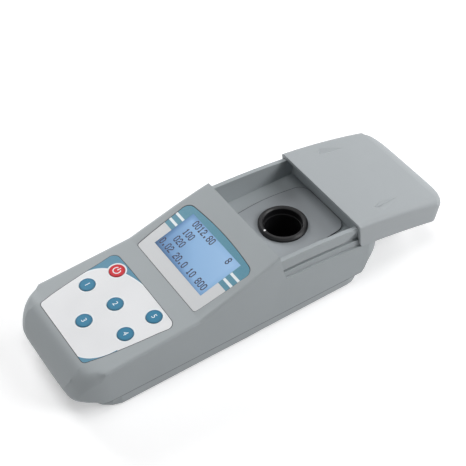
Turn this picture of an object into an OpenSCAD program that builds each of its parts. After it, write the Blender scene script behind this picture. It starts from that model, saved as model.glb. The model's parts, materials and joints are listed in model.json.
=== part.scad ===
// Portable turbidity meter with an arched sliding lid over its sample well.
// X is across the meter, +Y runs from the keys to the lid, +Z is up, and the feet stand on z = 0.

/* [Housing] */
// Half the width of the housing at its rim
rim_half_w = 44.6; // [43.8:0.1:48]
// How far the rim reaches in front of the origin
front_reach = 113; // [111:0.5:118]
// How far the rear rim reaches behind the origin
rear_reach = 120; // [117:0.5:126]
// Wall thickness of the upper and lower housings
wall = 2.6; // [2.2:0.1:3]
// Height of the parting line between the two housings
part_z = 9; // [8.5:0.1:10]
// Height of the lower housing's underside over the table
belly_z = 0.8; // [0.6:0.1:1.2]
// How far the lower housing's sides are set back from the rim
belly_inset = 1.2; // [1:0.1:2]

/* [Top surfaces] */
// Y of the crease between the keypad panel and the display panel
crease_y = -24.5; // [-26:0.1:-23]
// Height of that crease
crease_z = 40.2; // [39:0.1:42]
// Slope of the keypad panel in degrees
key_tilt = 3.7; // [3:0.1:4.5]
// Slope of the display panel in degrees
display_tilt = 18; // [16.5:0.1:18.5]
// Y of the display panel's rear edge
wedge_y = 36.6; // [36:0.1:37]

/* [Lid track] */
// Radius of the arc that the tops of the two rails follow
track_r = 641.2; // [600:0.1:700]
// Y of the arc's centre
track_y = 22; // [18:0.5:26]
// Height of the rail tops above that centre's foot, at the centre's Y
track_top_z = 55.6; // [54.6:0.1:56.4]
// How far the rails' outer faces are set back from the rim
rail_inset = 3; // [2.8:0.1:3.4]
// Thickness of a rail
rail_t = 3; // [2.6:0.1:3.4]
// Height of the rail's overhanging outer lip
lip_h = 8.6; // [7.5:0.1:9.5]
// Height of the guide groove under the lip
groove_h = 2.4; // [2:0.1:3]
// Depth of the guide groove
groove_d = 1.8; // [1.4:0.1:2]
// Distance from the rail tops down to the ledge below the lid
ledge_drop = 16.3; // [15.5:0.1:17.5]
// Length of the curve between the display panel's rear face and the ledge
ledge_round = 2.6; // [1.5:0.1:2.8]
// Y where the rails end
rail_end_y = 108.5; // [107:0.5:109]
// Y of the tip of the rail's outer lip
nose_y = 101; // [99:0.5:102]
// Running gap between the lid and the housing
lid_gap = 0.3; // [0.2:0.05:0.4]

/* [Lid] */
// Angle that the lid turns about the track centre between open and closed, in degrees
lid_travel = 5.5; // [4.5:0.1:5.6]
// Length of the lid along the track, in degrees
lid_span = 7.6; // [7.4:0.05:7.8]
// Length of the rim that bulges behind the roof's rear crease
lid_rim_len = 15; // [13:0.5:16]
// Thickness of the lid's roof
roof_t = 3; // [2.6:0.1:3.4]
// Thickness of the lid's skirts
skirt_t = 2.1; // [1.8:0.1:2.4]
// Edge rounding of the lid at its front
lid_round_front = 2.6; // [2:0.1:3.5]
// Edge rounding of the lid at its rear
lid_round_rear = 5.5; // [4:0.1:6.5]
// Depth of the two finger flutes in the roof
flute_d = 1.5; // [0.6:0.1:1.8]
// Distance of the flutes' inner sides from the lid's middle
flute_x = 28.6; // [26:0.1:30]
// Length of a flute along the track, in degrees
flute_len = 2.5; // [2:0.1:3]

/* [Sample well] */
// Y of the well's axis
well_y = 69; // [66:0.5:71]
// Radius of the cell holder's bore
cell_r = 12.8; // [11:0.1:13.2]
// Wall of the cell holder
holder_wall = 3.2; // [2.6:0.1:3.6]
// Height of the well's floor
well_floor_z = 7; // [6.5:0.1:9]
// Height of the deck around the well
deck_z = 36.4; // [35.5:0.1:37]
// Outer radius of the black collar
collar_r = 17; // [16.8:0.1:18.5]
// Height of the collar over the platform
collar_h = 2.8; // [2:0.1:3.5]
// How far the platform plate's sides stand off the rails
platform_gap = 13.6; // [11:0.1:14.6]
// Thickness of the platform plate
platform_t = 1.5; // [1.2:0.1:1.8]
// Height of the light beam
beam_z = 20; // [18:0.5:22]

/* [Display] */
// Distance from the rim to the display label's side at its front edge
label_side_front = 9.4; // [8:0.1:10.5]
// Distance from the rim to the display label's side at its rear edge
label_side_rear = 7.2; // [7:0.1:9]
// Length of the display label
label_len = 45; // [43:0.5:46]
// How far the label's rear edge bows back
label_bow = 2; // [0:0.1:2.5]
// Thickness of the display label
label_t = 1; // [0.8:0.1:1.2]
// Distance from the label's side to the visible display at the front edge
lcd_side = 7.2; // [6.2:0.1:10]
// Distance from the label's rear edge to the visible display
lcd_rear = 3.3; // [3:0.1:6]
// Distance from the label's front edge to the visible display
lcd_front = 9.7; // [9:0.1:10.5]

/* [Keypad] */
// Length of the keypad overlay
pad_len = 60.6; // [58:0.1:62]
// Distance from the rim to the overlay's side at its rear edge
pad_side_rear = 7.8; // [7:0.1:9.5]
// Distance from the rim to the overlay's side at its front edge
pad_side_front = 15.4; // [14:0.1:16.5]
// Y of the overlay's middle
pad_y = -68.7; // [-69.5:0.1:-68]
// Thickness of the overlay
pad_t = 0.6; // [0.5:0.05:0.8]
// Radius of a key's cap
key_r = 5.3; // [4.6:0.1:5.6]
// Travel of a key
key_travel = 0.4; // [0.3:0.05:0.45]

/* [Power] */
// Diameter of a cell
battery_d = 14.2; // [13.5:0.1:14.5]
// Length of a cell
battery_len = 49.6; // [48:0.1:50.5]
// Number of cells side by side
battery_count = 4; // [2:1:4]
// Y of the battery bay's middle
bay_y = -31.5; // [-33:0.5:-30]
// Thickness of the battery door
door_t = 1.8; // [1.6:0.1:2]

/* [Boards and fasteners] */
// Thickness of the circuit boards
board_t = 1.6; // [1.2:0.1:1.8]
// Height of the main board
board_z = 21.6; // [21.2:0.1:23]
// Radius of a housing screw's shank
screw_r = 1.4; // [1.2:0.1:1.6]
// Radius of a rubber foot
foot_r = 5; // [4.5:0.1:5.5]
// Thickness of a rubber foot
foot_t = 1.6; // [1.4:0.1:1.8]

/* [Hidden] */
$fn = 48;
eps = 0.01;
// Round parts whose curve only shows in section
fine = 96;

// Colours of the finishes
grey = [0.66, 0.69, 0.70];
black = [0.06, 0.06, 0.07];
teal = [0.10, 0.43, 0.60];
silver = [0.78, 0.79, 0.80];
green = [0.05, 0.30, 0.16];

// Widths that follow the rim
belly_half_w = rim_half_w - belly_inset;
rail_half_w = rim_half_w - rail_inset;
platform_half_w = rail_half_w - rail_t - platform_gap;
label_front = rim_half_w - label_side_front;
label_rear = rim_half_w - label_side_rear;
lcd_w = 2 * (label_front - lcd_side);
lcd_len = label_len - lcd_front - lcd_rear;
pad_front = rim_half_w - pad_side_front;
pad_rear = rim_half_w - pad_side_rear;

// Plan of the upper housing's front and rear corners
front_y = -front_reach;
rear_y = rear_reach;
corner_across = 16;
corner_along = 24;
rear_corner_across = 10;
rear_corner_along = 14;
// Height of the front rim, and the length over which the nose rises to the keypad panel
nose_rim_z = 13;
nose_len = 14;
// How far the display panel's sides draw in towards its rear edge
wedge_taper = 1.4;
// Where the shoulder crease beside the nose starts, and where it ends across the nose
shoulder_y = -92;
shoulder_x = pad_front + 2.8;
// Half width of the nose's own slope between the two facets beside it, and the facets' fall
nose_x = pad_front + 0.8;
facet_fall = 2;
envelope_rear_z = track_top_z - 8;
// Plan of the lower housing's ends
belly_front_y = front_y + 10;
belly_flat_y = front_y + 25;
belly_rear_y = rear_y - 15;

// Track circle
track_z = track_top_z - track_r;
lip_r = track_r - lip_h;
ridge_r = lip_r - groove_h;
ledge_r = track_r - ledge_drop;
roof_in_r = track_r + 2 * lid_gap;
roof_r = roof_in_r + roof_t;
skirt_r = ledge_r + 2 * lid_gap;
skirt_in = rail_half_w + lid_gap;
lid_half_w = skirt_in + skirt_t;
function track_point(r, a) = [track_y + r * sin(a), track_z + r * cos(a)];
function track_angle(y, r) = asin((y - track_y) / r);
function track_height(y, r) = track_z + sqrt(r * r - (y - track_y) * (y - track_y));
// The display panel's rear face leans as the lid's front edge does when the lid is shut
lid_shut_front = track_angle(wedge_y + 0.4, roof_r);
lid_front = lid_shut_front + lid_travel;
lid_rear = lid_front + lid_span;
lid_lean = 0.44;
// Where the flutes start behind the lid's front edge, in degrees
flute_front = 2.06;
// The rim's slope at the crease, how far it rounds down behind it, and the skirts' front chamfer
rim_slope = 0.1;
rim_fall = 7.2;
lid_chamfer = 1.6;
// Where the lid's hooks start behind its front edge, and their length, in degrees
hook_start = 0.34;
hook_span = 0.4;
// Degrees along the track for one millimetre
per_mm = 180 / (PI * track_r);

// Well stack
well_mouth_r = cell_r + 0.6;
platform_top_z = deck_z + 0.5;
collar_skirt_r = 15.6;
holder_r = cell_r + holder_wall;
deck_under_z = deck_z - 2.4;
flange_r = holder_r + 6;
flange_t = 3;
optics_screw_top = platform_top_z - platform_t - 0.5;
beam_port_r = 2.6;
lens_r = 4;
lens_t = 2;
lamp_r = 2.5;
lamp_len = 6.5;
detector_r = 4.1;
detector_len = 4.4;
pocket_front_y = wedge_y + 1.4;
pocket_rear_y = rail_end_y - 3.7;

// Display and keypad stacks, measured along the panel's normal
label_recess = label_t + 0.2;
label_gap = 0.35;
window_gap = 0.05;
gasket_t = 0.8;
lcd_frame_t = 4.4;
lcd_glass_t = 1.8;
pad_recess = pad_t - 0.05;
seam = 0.45;
key_gap = 0.2;
flange_over = 1.3;
key_hole_r = key_r + flange_over + 0.4;
circuit_t = 0.8;
circuit_half_w = pad_rear - 5.8;
dome_h = 0.45;
key_flange_t = 1.2;
// The key rests over its dome with its travel and a little more to spare
key_flange_low = -wall - 0.05 + dome_h + key_travel + 0.05;
key_proud = 0.5;
// Key places: across the panel, and along it from the overlay's middle
key_rear_x = pad_rear - 13.5;
key_side_x = (pad_front + pad_rear) / 2 - 8.6;
key_rear_y = pad_len / 2 - 7.2;
key_side_y = 1.8;
key_front_y = -pad_len / 2 + 16.3;
key_places = [
    ["key_power", -key_rear_x, key_rear_y], ["key_rear_right", key_rear_x, key_rear_y],
    ["key_left", -key_side_x, key_side_y], ["key_right", key_side_x, key_side_y],
    ["key_centre", 0, key_side_y + 6.7], ["key_front", 0, key_front_y]];

// Battery bay
battery_pitch = battery_d + 0.6;
bay_half_w = battery_count * battery_pitch / 2 + 0.4;
contact_len = 3.4;
bay_half_len = battery_len / 2 + contact_len + 0.3;
bay_wall = 1.5;
door_lap = 3;
door_gap = 0.25;
door_top_z = belly_z + door_t;
battery_z = door_top_z + 0.3 + battery_d / 2;
bay_roof_z = battery_z + battery_d / 2 + 0.5;
floor_z = belly_z + wall;

// Places of the screws, the posts and the feet: half distance across, and Y
post_r = 3.6;
screw_x = rim_half_w - wall - post_r - 0.8;
housing_screw_places = [[screw_x, -76], [screw_x, 12], [screw_x - 1.2, 92]];
foot_places = [[rim_half_w - 14.6, -80], [rim_half_w - 13.6, 84]];
board_post_places = [[rim_half_w - 17.6, -95], [rim_half_w - 17.6, 28]];
board_front_y = -99;
board_rear_y = 33;
board_half_w = rim_half_w - 12.1;
screw_head_r = 2.8;
screw_head_t = 2;

module mirrored() {
    children();
    mirror([1, 0, 0]) children();
}

// Points on an arc in a plane, from angle a to angle b
function arc(cx, cy, r, a, b, n) =
    [for (i = [0:n]) let (t = a + (b - a) * i / n) [cx + r * cos(t), cy + r * sin(t)]];

// A panel outline with round corners that is wide_front at its front edge and wide_rear at its rear,
// with its rear edge bowed back and its sides bellied out
function panel_half(wide_front, wide_rear, len, r_front, r_rear, bow, belly) = concat(
    arc(wide_front - r_front, -len / 2 + r_front, r_front, -90, 0, 5),
    [for (t = [0.2:0.15:0.8])
        [wide_front + (wide_rear - wide_front) * t + belly * sin(180 * t), len * (t - 0.5)]],
    arc(wide_rear - r_rear, len / 2 - r_rear, r_rear, 0, 84, 5),
    [for (t = [0.7:-0.15:0.05]) [wide_rear * t, len / 2 + bow * (1 - pow(t / (1 - r_rear / wide_rear), 2))]]);
function panel(wide_front, wide_rear, len, r_front, r_rear, bow = 0, belly = 0) = let (
    half = panel_half(wide_front, wide_rear, len, r_front, r_rear, bow, belly))
    concat(half, [for (i = [len(half) - 1:-1:0]) [-half[i][0], half[i][1]]]);

// A closed skin through rings of equal point counts, capped from a point in the middle of each end
function middle(ring) = let (z = [for (p = ring) p[2]]) [0, ring[0][1], min(z) + (max(z) - min(z)) * 0.3];
module skin(rings) {
    n = len(rings[0]);
    m = len(rings);
    points = concat([for (ring = rings) for (p = ring) p], [middle(rings[0]), middle(rings[m - 1])]);
    sides = [for (j = [0:m - 2]) for (i = [0:n - 1])
        let (a = j * n + i, b = j * n + (i + 1) % n, c = b + n, d = a + n) [a, b, c, d]];
    split = [for (f = sides) each [[f[0], f[1], f[2]], [f[0], f[2], f[3]]]];
    first = [for (i = [0:n - 1]) [(i + 1) % n, i, m * n]];
    last = [for (i = [0:n - 1]) [(m - 1) * n + i, (m - 1) * n + (i + 1) % n, m * n + 1]];
    polyhedron(points, concat(split, first, last), convexity = 8);
}

// Extrudes an outline in Y and Z across the meter, from x0 to x1
module across(x0, x1) {
    translate([x0, 0, 0])
        rotate([90, 0, 90])
            linear_extrude(x1 - x0) children();
}

// A band of the track between two radii and two angles, as an outline in Y and Z
module track_band(r0, r1, a0, a1, n = 16) {
    polygon(concat(
        [for (i = [0:n]) track_point(r1, a0 + (a1 - a0) * i / n)],
        [for (i = [n:-1:0]) track_point(r0, a0 + (a1 - a0) * i / n)]));
}

// Local frames of the two panels: X across, Y up the slope, Z out of the panel
module on_keypad() {
    translate([0, pad_y, keypad_z(pad_y)])
        rotate([key_tilt, 0, 0]) children();
}
module on_display() {
    translate([0, crease_y, crease_z])
        rotate([display_tilt, 0, 0])
            translate([0, label_len / 2 + 0.9, 0]) children();
}

function keypad_z(y) = crease_z + (y - crease_y) * tan(key_tilt);
function display_z(y) = crease_z + (y - crease_y) * tan(display_tilt);
function panel_z(y) = y < crease_y ? keypad_z(y) : display_z(y);

// Outer form of the housing
function front_bend(y, start, reach, depth) =
    y >= start ? 0 : depth * (1 - sqrt(max(0, 1 - pow((start - y) / reach, 2))));
function rim_w(y) = rim_half_w
    - front_bend(y, front_y + corner_along, corner_along, corner_across)
    - front_bend(-y, -rear_y + rear_corner_along, rear_corner_along, rear_corner_across);
function nose_drop(y) = let (u = min(1, max(0, (front_y + nose_len - y) / nose_len)))
    (keypad_z(front_y + nose_len) - nose_rim_z) * (1 - sqrt(max(0, 1 - u * u)));
function skin_top(y) = y > wedge_y + 6 ? envelope_rear_z : panel_z(y) - nose_drop(y);
function tail_z(y) = belly_z + 28 * pow(min(1, max(0, (y - rear_y + 21) / 21)), 0.62)
    * min(1, max(0, (y - rear_y + 21) / 9));
function nose_share(y) = min(1, max(0, (shoulder_y - y) / (shoulder_y - front_y)));

// Half outline of the upper housing at one place: rim, side and a bent shoulder up to the flat top
function shoulder(w, z, flat, fall, sag, n) = [for (i = [0:n]) let (
    t = i / n,
    c = [w - sag * 0.5, z - sag],
    a = [w, z - fall],
    b = [flat, z])
    [pow(1 - t, 2) * a[0] + 2 * t * (1 - t) * c[0] + t * t * b[0],
     pow(1 - t, 2) * a[1] + 2 * t * (1 - t) * c[1] + t * t * b[1]]];

function upper_half(y, inset, low) = let (
    share = nose_share(y),
    top = skin_top(y) - inset,
    wide = rim_w(y) - inset,
    w = wide - 0.045 * max(0, top - 34) - wedge_taper * pow(min(1, max(0, (y - 8) / (wedge_y - 8))), 2),
    base = min(low, top - 1),
    depth = share * min(1, (top - base) / 12),
    edge = top - facet_fall * depth,
    fall = min(5 + 5 * share, (edge - base) * 0.7),
    flat = max(w * 0.5, (w - 5.5) * (1 - share) + min(shoulder_x, w - 6) * share),
    inner = min(nose_x - inset, flat - 0.5))
    concat([[wide, base]], shoulder(w, edge, flat, fall, 2.6 * depth, 8), [[inner, top]]);

function mirror_ring(half, y) = concat(
    [for (p = half) [p[0], y, p[1]]],
    [for (i = [len(half) - 1:-1:0]) [-half[i][0], y, half[i][1]]]);

outer_stations = concat(
    [for (i = [0:11]) front_y + nose_len * (1 - cos(i * 90 / 11))],
    [front_y + 16, front_y + 18, shoulder_y, front_y + corner_along, -60, crease_y, 12, 28, wedge_y + 6],
    [wedge_y + 6.1],
    [for (d = [22, 16, 14, 11, 8, 5, 2.5, 1, 0]) rear_y - d]);
outer_low = [for (y = outer_stations) max(part_z, tail_z(y))];

module upper_skin() {
    skin([for (i = [0:len(outer_stations) - 1])
        mirror_ring(upper_half(outer_stations[i], 0, outer_low[i]), outer_stations[i])]);
}

// Hollow of the upper housing in front of the well
module upper_hollow() {
    stations = [for (y = [front_y + 5, front_y + 7, front_y + 10, front_y + nose_len, front_y + 19,
        front_y + 20, -88, -60, crease_y, 12, 28, wedge_y - wall]) y];
    skin([for (y = stations) mirror_ring(
        upper_half(y, wall, y < front_y + 19.5 ? part_z + wall : part_z - 1), y)]);
}

// A curve from a to b that is drawn towards a corner
function bend(a, corner, b, n) = [for (i = [0:n]) let (t = i / n)
    pow(1 - t, 2) * a + 2 * t * (1 - t) * corner + t * t * b];

// Everything above the ledge and behind the display panel's leaning rear face
module lid_space() {
    top = [wedge_y, display_z(wedge_y) - 1.2];
    corner = [wedge_y + 4.2, track_height(wedge_y + 4.2, ledge_r)];
    along = (top - corner) / norm(top - corner);
    start_y = corner[0] + ledge_round;
    across(-rim_half_w - 5, rim_half_w + 5)
        polygon(concat(
            [[wedge_y, display_z(wedge_y) + 8], top],
            bend(corner + along * ledge_round, corner, [start_y, track_height(start_y, ledge_r)], 5),
            [for (i = [1:18]) let (y = start_y + (rear_y + 8 - start_y) * i / 18)
                [y, track_height(y, ledge_r)]],
            [[rear_y + 12, display_z(wedge_y) + 8]]));
}

// The open pocket around the well, between the rails and down to the deck
module pocket_space() {
    low_y = wedge_y + 4.2;
    across(-rail_half_w + rail_t, rail_half_w - rail_t)
        polygon([[low_y, track_height(low_y, ledge_r) + 0.4],
            [low_y + 0.5, deck_z + 1.6], [low_y + 1.2, deck_z + 0.5],
            [low_y + 2.6, deck_z], [pocket_rear_y, deck_z], [pocket_rear_y, 70], [low_y, 70]]);
}

// The guide groove under the rail's lip. Its roof sweeps up into a pointed nose at the open lid's
// front edge, and its rear end stops the hooks of the open lid.
module groove_outline() {
    a0 = track_angle(wedge_y, ledge_r) - 1;
    tip = track_angle(nose_y, track_r);
    rise = track_angle(nose_y - 13, lip_r);
    stop = lid_front + hook_start + hook_span + 0.02;
    polygon(concat(
        [for (i = [0:12]) track_point(ridge_r, a0 + (stop - a0) * i / 12)],
        [track_point(lip_r, stop), track_point(lip_r, tip + 0.04)],
        [for (i = [0:6]) let (t = 90 - i * 15)
            track_point(track_r - 2 - (lip_h - 2) * (1 - sin(t)), rise + (tip - rise) * sin(t))],
        [for (i = [9:-1:0]) track_point(lip_r, a0 + (rise - a0) * i / 10)]));
}

module rails() {
    a0 = track_angle(wedge_y, ledge_r) - 0.08;
    a1 = track_angle(rail_end_y, track_r);
    mirrored()
        difference() {
            across(rail_half_w - rail_t, rail_half_w) track_band(ledge_r - 8, track_r, a0, a1);
            across(rail_half_w - groove_d, rail_half_w + 5) groove_outline();
        }
}

module deck() {
    // Rear wall of the pocket around the well, radial as the inside of the shut lid's rear wall is
    wall_end = track_angle(rail_end_y, track_r) - 0.3 * per_mm;
    wall_low = track_point(ledge_r - 3, wall_end);
    across(-rail_half_w + rail_t - 0.6, rail_half_w - rail_t + 0.6)
        polygon([[pocket_rear_y, wall_low[1]], wall_low, track_point(track_r - 0.4, wall_end),
            [pocket_rear_y, track_height(pocket_rear_y, track_r) - 0.4]]);
    // Deck plate
    translate([-rail_half_w + 1, wedge_y - wall, deck_under_z])
        cube([2 * rail_half_w - 2, pocket_rear_y + 1.2 - wedge_y + wall, deck_z - deck_under_z]);
}

module platform_outline(grow = 0) {
    w = platform_half_w + grow;
    y0 = wedge_y + 6.8 - grow;
    y1 = pocket_rear_y - 0.6 + grow;
    bulge = 2;
    r = 9;
    polygon(concat(
        [[w - 2, y0]],
        [for (i = [0:8]) let (t = i / 8) [w + bulge * sin(180 * t), y0 + 3 + (y1 - r - y0 - 3) * t]],
        arc(w - r, y1 - r, r, 10, 90, 6),
        arc(-w + r, y1 - r, r, 90, 170, 6),
        [for (i = [0:8]) let (t = 1 - i / 8) [-w - bulge * sin(180 * t), y0 + 3 + (y1 - r - y0 - 3) * t]],
        [[-w + 2, y0]]));
}

module upper_posts() {
    for (p = housing_screw_places)
        mirrored()
            translate([p[0], p[1], part_z])
                cylinder(r = post_r, h = (p[1] > wedge_y ? deck_under_z + 1 : panel_z(p[1]) - 1.2) - part_z);
    for (p = board_post_places)
        mirrored()
            translate([p[0], p[1], board_z + board_t])
                cylinder(r = post_r, h = panel_z(p[1]) - 1.4 - board_z - board_t);
    // Ribs that tie the long posts under the display panel to the side wall
    mirrored()
        translate([housing_screw_places[1][0], housing_screw_places[1][1] - 0.8, part_z + 4])
            cube([rim_half_w - wall / 2 - housing_screw_places[1][0], 1.6, 30]);
}

module upper_housing() {
    bay_w = rail_half_w - 1.2;
    color(grey)
    difference() {
        union() {
            difference() {
                upper_skin();
                upper_hollow();
                lid_space();
                pocket_space();
                // Hollow below the deck
                translate([0, 0, part_z - 1])
                    linear_extrude(deck_under_z - 3 - part_z)
                        polygon([[bay_w, wedge_y - wall - 1], [bay_w, rear_y - 25],
                            [bay_w - 7, rear_y - 17.5], [-bay_w + 7, rear_y - 17.5],
                            [-bay_w, rear_y - 25], [-bay_w, wedge_y - wall - 1]]);
                translate([-rail_half_w + rail_t + 2, pocket_front_y + 1, part_z])
                    cube([2 * (rail_half_w - rail_t - 2), pocket_rear_y - pocket_front_y - 4,
                        deck_under_z - part_z + 1]);
            }
            rails();
            deck();
            upper_posts();
        }
        translate([0, 0, platform_top_z - platform_t])
            linear_extrude(10) platform_outline(seam);
        // Opening for the collar's skirt
        translate([0, well_y, deck_under_z - 6])
            cylinder(r = collar_skirt_r + 0.15, h = 20, $fn = fine);
        on_display() {
            translate([0, 0, -label_recess]) linear_extrude(10)
                polygon(panel(label_front + label_gap, label_rear + label_gap, label_len + 2 * label_gap,
                    2.2, 6, label_bow, 0.3));
            lcd_slab(0.5, 0.5, -wall - 1, 10);
        }
        on_keypad() {
            translate([0, 0, -pad_recess]) linear_extrude(10)
                polygon(panel(pad_front + label_gap, pad_rear + label_gap, pad_len + 2 * label_gap,
                    3, 5, 0.4, 0.8));
            for (k = key_places)
                translate([k[1], k[2], -wall - 3]) cylinder(r = key_hole_r, h = 10);
            // Slot for the keypad circuit's tail
            translate([-8, -pad_len / 2 - 0.5 + 4, -wall - 3]) cube([16, 1.4, 3 + wall - pad_recess - 1]);
        }
        for (p = housing_screw_places)
            mirrored()
                translate([p[0], p[1], part_z - 1]) cylinder(r = screw_r, h = 13);
        for (p = board_post_places)
            mirrored()
                translate([p[0], p[1], board_z]) cylinder(r = screw_r, h = 9);
        for (a = [45, 135, 225, 315])
            translate([(flange_r - 2.6) * cos(a), well_y + (flange_r - 2.6) * sin(a), deck_under_z - 5])
                cylinder(r = 1, h = optics_screw_top + 0.2 - deck_under_z + 5);
    }
}

// Outer form of the lower housing
function belly_w(y) = belly_half_w
    - front_bend(y, belly_front_y + 20, 20.6, 15)
    - front_bend(-y, -belly_rear_y + 12, 12.4, 9);
function belly_low(y) = y < belly_flat_y
    ? belly_z + (part_z - 1.4 - belly_z) * pow((belly_flat_y - y) / (belly_flat_y - belly_front_y), 1.7)
    : min(part_z - 1.4, tail_z(y));
function belly_half(y, inset) = let (
    w = belly_w(y) - inset,
    z = belly_low(y) + inset,
    r = min(3, (part_z - z) * 0.8))
    concat([[w - r - 0.9, z]],
        arc(w - r - 0.5, z + r, r, -70, -10, 3),
        [[w, part_z]]);

module lower_skin() {
    stations = concat([for (i = [0:5]) belly_front_y + 20 * (1 - cos(i * 90 / 5))],
        [-60, 0, 60], [for (y = [93, 97, 100, 102.5, 104.2]) y + rear_y - 120], [belly_rear_y]);
    skin([for (y = stations) mirror_ring(belly_half(y, 0), y)]);
}

module lower_hollow() {
    stations = concat([for (i = [1:5]) belly_front_y + wall + 18 * (1 - cos(i * 90 / 5))],
        [-60, 0, 60], [for (y = [92, 96, 99]) y + rear_y - 120]);
    skin([for (y = stations) mirror_ring(concat(
        [for (p = belly_half(y, wall)) [p[0], min(p[1], part_z)]],
        [[belly_w(y) - wall, part_z + 1]]), y)]);
}

module bay_block() {
    translate([-bay_half_w - bay_wall, bay_y - bay_half_len - bay_wall, floor_z - 1])
        cube([2 * (bay_half_w + bay_wall), 2 * (bay_half_len + bay_wall), bay_roof_z + bay_wall - floor_z + 1]);
}

module lower_housing() {
    color(grey)
    difference() {
        union() {
            difference() {
                lower_skin();
                lower_hollow();
            }
            bay_block();
            for (p = housing_screw_places)
                mirrored()
                    translate([p[0], p[1], belly_z + 1.2])
                        cylinder(r = post_r + 0.6, h = part_z - belly_z - 1.2);
            for (p = foot_places)
                mirrored()
                    translate([p[0], p[1], belly_z + 1]) cylinder(r = foot_r + 1.4, h = 2.6);
        }
        // Battery bay and the seat of its door
        translate([-bay_half_w, bay_y - bay_half_len, belly_z - 1])
            cube([2 * bay_half_w, 2 * bay_half_len, bay_roof_z - belly_z + 1]);
        translate([-bay_half_w - door_lap, bay_y - bay_half_len - door_lap, belly_z - 1])
            cube([2 * (bay_half_w + door_lap), 2 * (bay_half_len + door_lap), door_t + 1]);
        for (p = housing_screw_places)
            mirrored() {
                translate([p[0], p[1], belly_z - 1]) cylinder(r = screw_r + 0.2, h = part_z + 2);
                translate([p[0], p[1], belly_z - 1]) cylinder(r = screw_head_r + 0.3, h = screw_head_t + 1.6);
            }
        for (p = foot_places)
            mirrored()
                translate([p[0], p[1], belly_z - 1]) cylinder(r = foot_r + 0.1, h = foot_t - belly_z + 1);
    }
}

// Lid: rings across the track. Behind a straight crease the rim bulges in plan and rounds down.
function rim_share(d) = max(0, lid_rim_len - d) / lid_rim_len;
function lid_w(d) = lid_half_w * sqrt(1 - pow(rim_share(d), 2.6));
function lid_top(d) = roof_r - rim_slope * lid_rim_len * rim_share(d)
    - rim_fall * (1 - sqrt(1 - pow(rim_share(d), 2)));
function lid_ring(a, d, share) = let (
    w = lid_w(d),
    top = lid_top(d),
    r = min(lid_round_front + (lid_round_rear - lid_round_front) * share, (top - skirt_r) * 0.6),
    half = concat([[w, skirt_r]], arc(w - r, top - r, r, 0, 90, 6)))
    [for (p = concat(half, [for (i = [len(half) - 1:-1:0]) [-half[i][0], half[i][1]]]))
        let (q = track_point(p[1], a + lid_lean * (roof_r - p[1]) / (roof_r - skirt_r) * (1 - share)))
        [p[0], q[0], q[1]]];

module lid_shell() {
    n = 12;
    m = 12;
    crease = lid_rear - lid_rim_len * per_mm;
    skin(concat(
        [for (i = [0:n]) let (t = i / n) lid_ring(lid_front + (crease - lid_front) * t, lid_rim_len, t * t)],
        [for (i = [1:m]) let (d = lid_rim_len * cos(i * 88 / m)) lid_ring(lid_rear - d * per_mm, d, 1)]));
}

// A finger flute: a scoop with a steep inner side and a gentle floor that runs out to the rear
module flute() {
    function at(x, depth, a) = let (q = track_point(roof_r - depth, lid_front + a)) [x, q[0], q[1]];
    above = -0.6;
    inner = at(flute_x, above, flute_front + 0.66);
    front = at(flute_x + 3.4, above, flute_front - 0.14);
    outer = at(flute_x + 10, above, flute_front + 0.5);
    tail = at(flute_x + 0.8, above, flute_front + flute_len);
    deep = at(flute_x + 3, flute_d, flute_front + 0.06);
    polyhedron([inner, front, outer, tail, deep],
        [[0, 2, 1], [0, 3, 2], [0, 1, 4], [1, 2, 4], [2, 3, 4], [3, 0, 4]]);
}

module sliding_lid() {
    low = lid_front + lid_lean;
    color(grey)
    union() {
        difference() {
            lid_shell();
            // Space for the rails, and the hollow of the rim behind them
            across(-skirt_in, skirt_in)
                track_band(skirt_r - 5, roof_in_r, lid_front - 0.4, lid_rear - (lid_rim_len - 4.8) * per_mm);
            across(-skirt_in + 12, skirt_in - 12)
                track_band(skirt_r - 5, roof_in_r - 3.5,
                    lid_rear - lid_rim_len * per_mm, lid_rear - 3.5 * per_mm, 4);
            // Chamfer at the skirts' lower front corners
            across(-lid_half_w - 1, lid_half_w + 1)
                polygon([track_point(skirt_r - 1, low - 0.3), track_point(skirt_r + lid_chamfer, low - 0.3),
                    track_point(skirt_r + lid_chamfer, low - 0.04),
                    track_point(skirt_r - 1, low + lid_chamfer * 1.6 * per_mm)]);
            mirrored() flute();
        }
        // Hooks that run in the grooves under the rails
        mirrored()
            across(rail_half_w - groove_d + 0.3, skirt_in + 0.4)
                track_band(ridge_r + 0.3, lip_r - 0.3,
                    lid_front + hook_start, lid_front + hook_start + hook_span, 4);
    }
}

module well_platform() {
    color(grey)
    difference() {
        translate([0, 0, platform_top_z - platform_t]) linear_extrude(platform_t) platform_outline();
        translate([0, well_y, deck_under_z]) cylinder(r = collar_skirt_r + 0.15, h = 10, $fn = fine);
    }
}

module well_collar() {
    color(black)
    translate([0, well_y, 0])
        rotate_extrude($fn = fine)
            polygon([[well_mouth_r, deck_under_z], [collar_skirt_r, deck_under_z],
                [collar_skirt_r, platform_top_z], [collar_r, platform_top_z],
                [collar_r, platform_top_z + collar_h - 1.3], [collar_r - 1.3, platform_top_z + collar_h],
                [well_mouth_r + 0.9, platform_top_z + collar_h],
                [well_mouth_r, platform_top_z + collar_h - 0.9]]);
}

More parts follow.
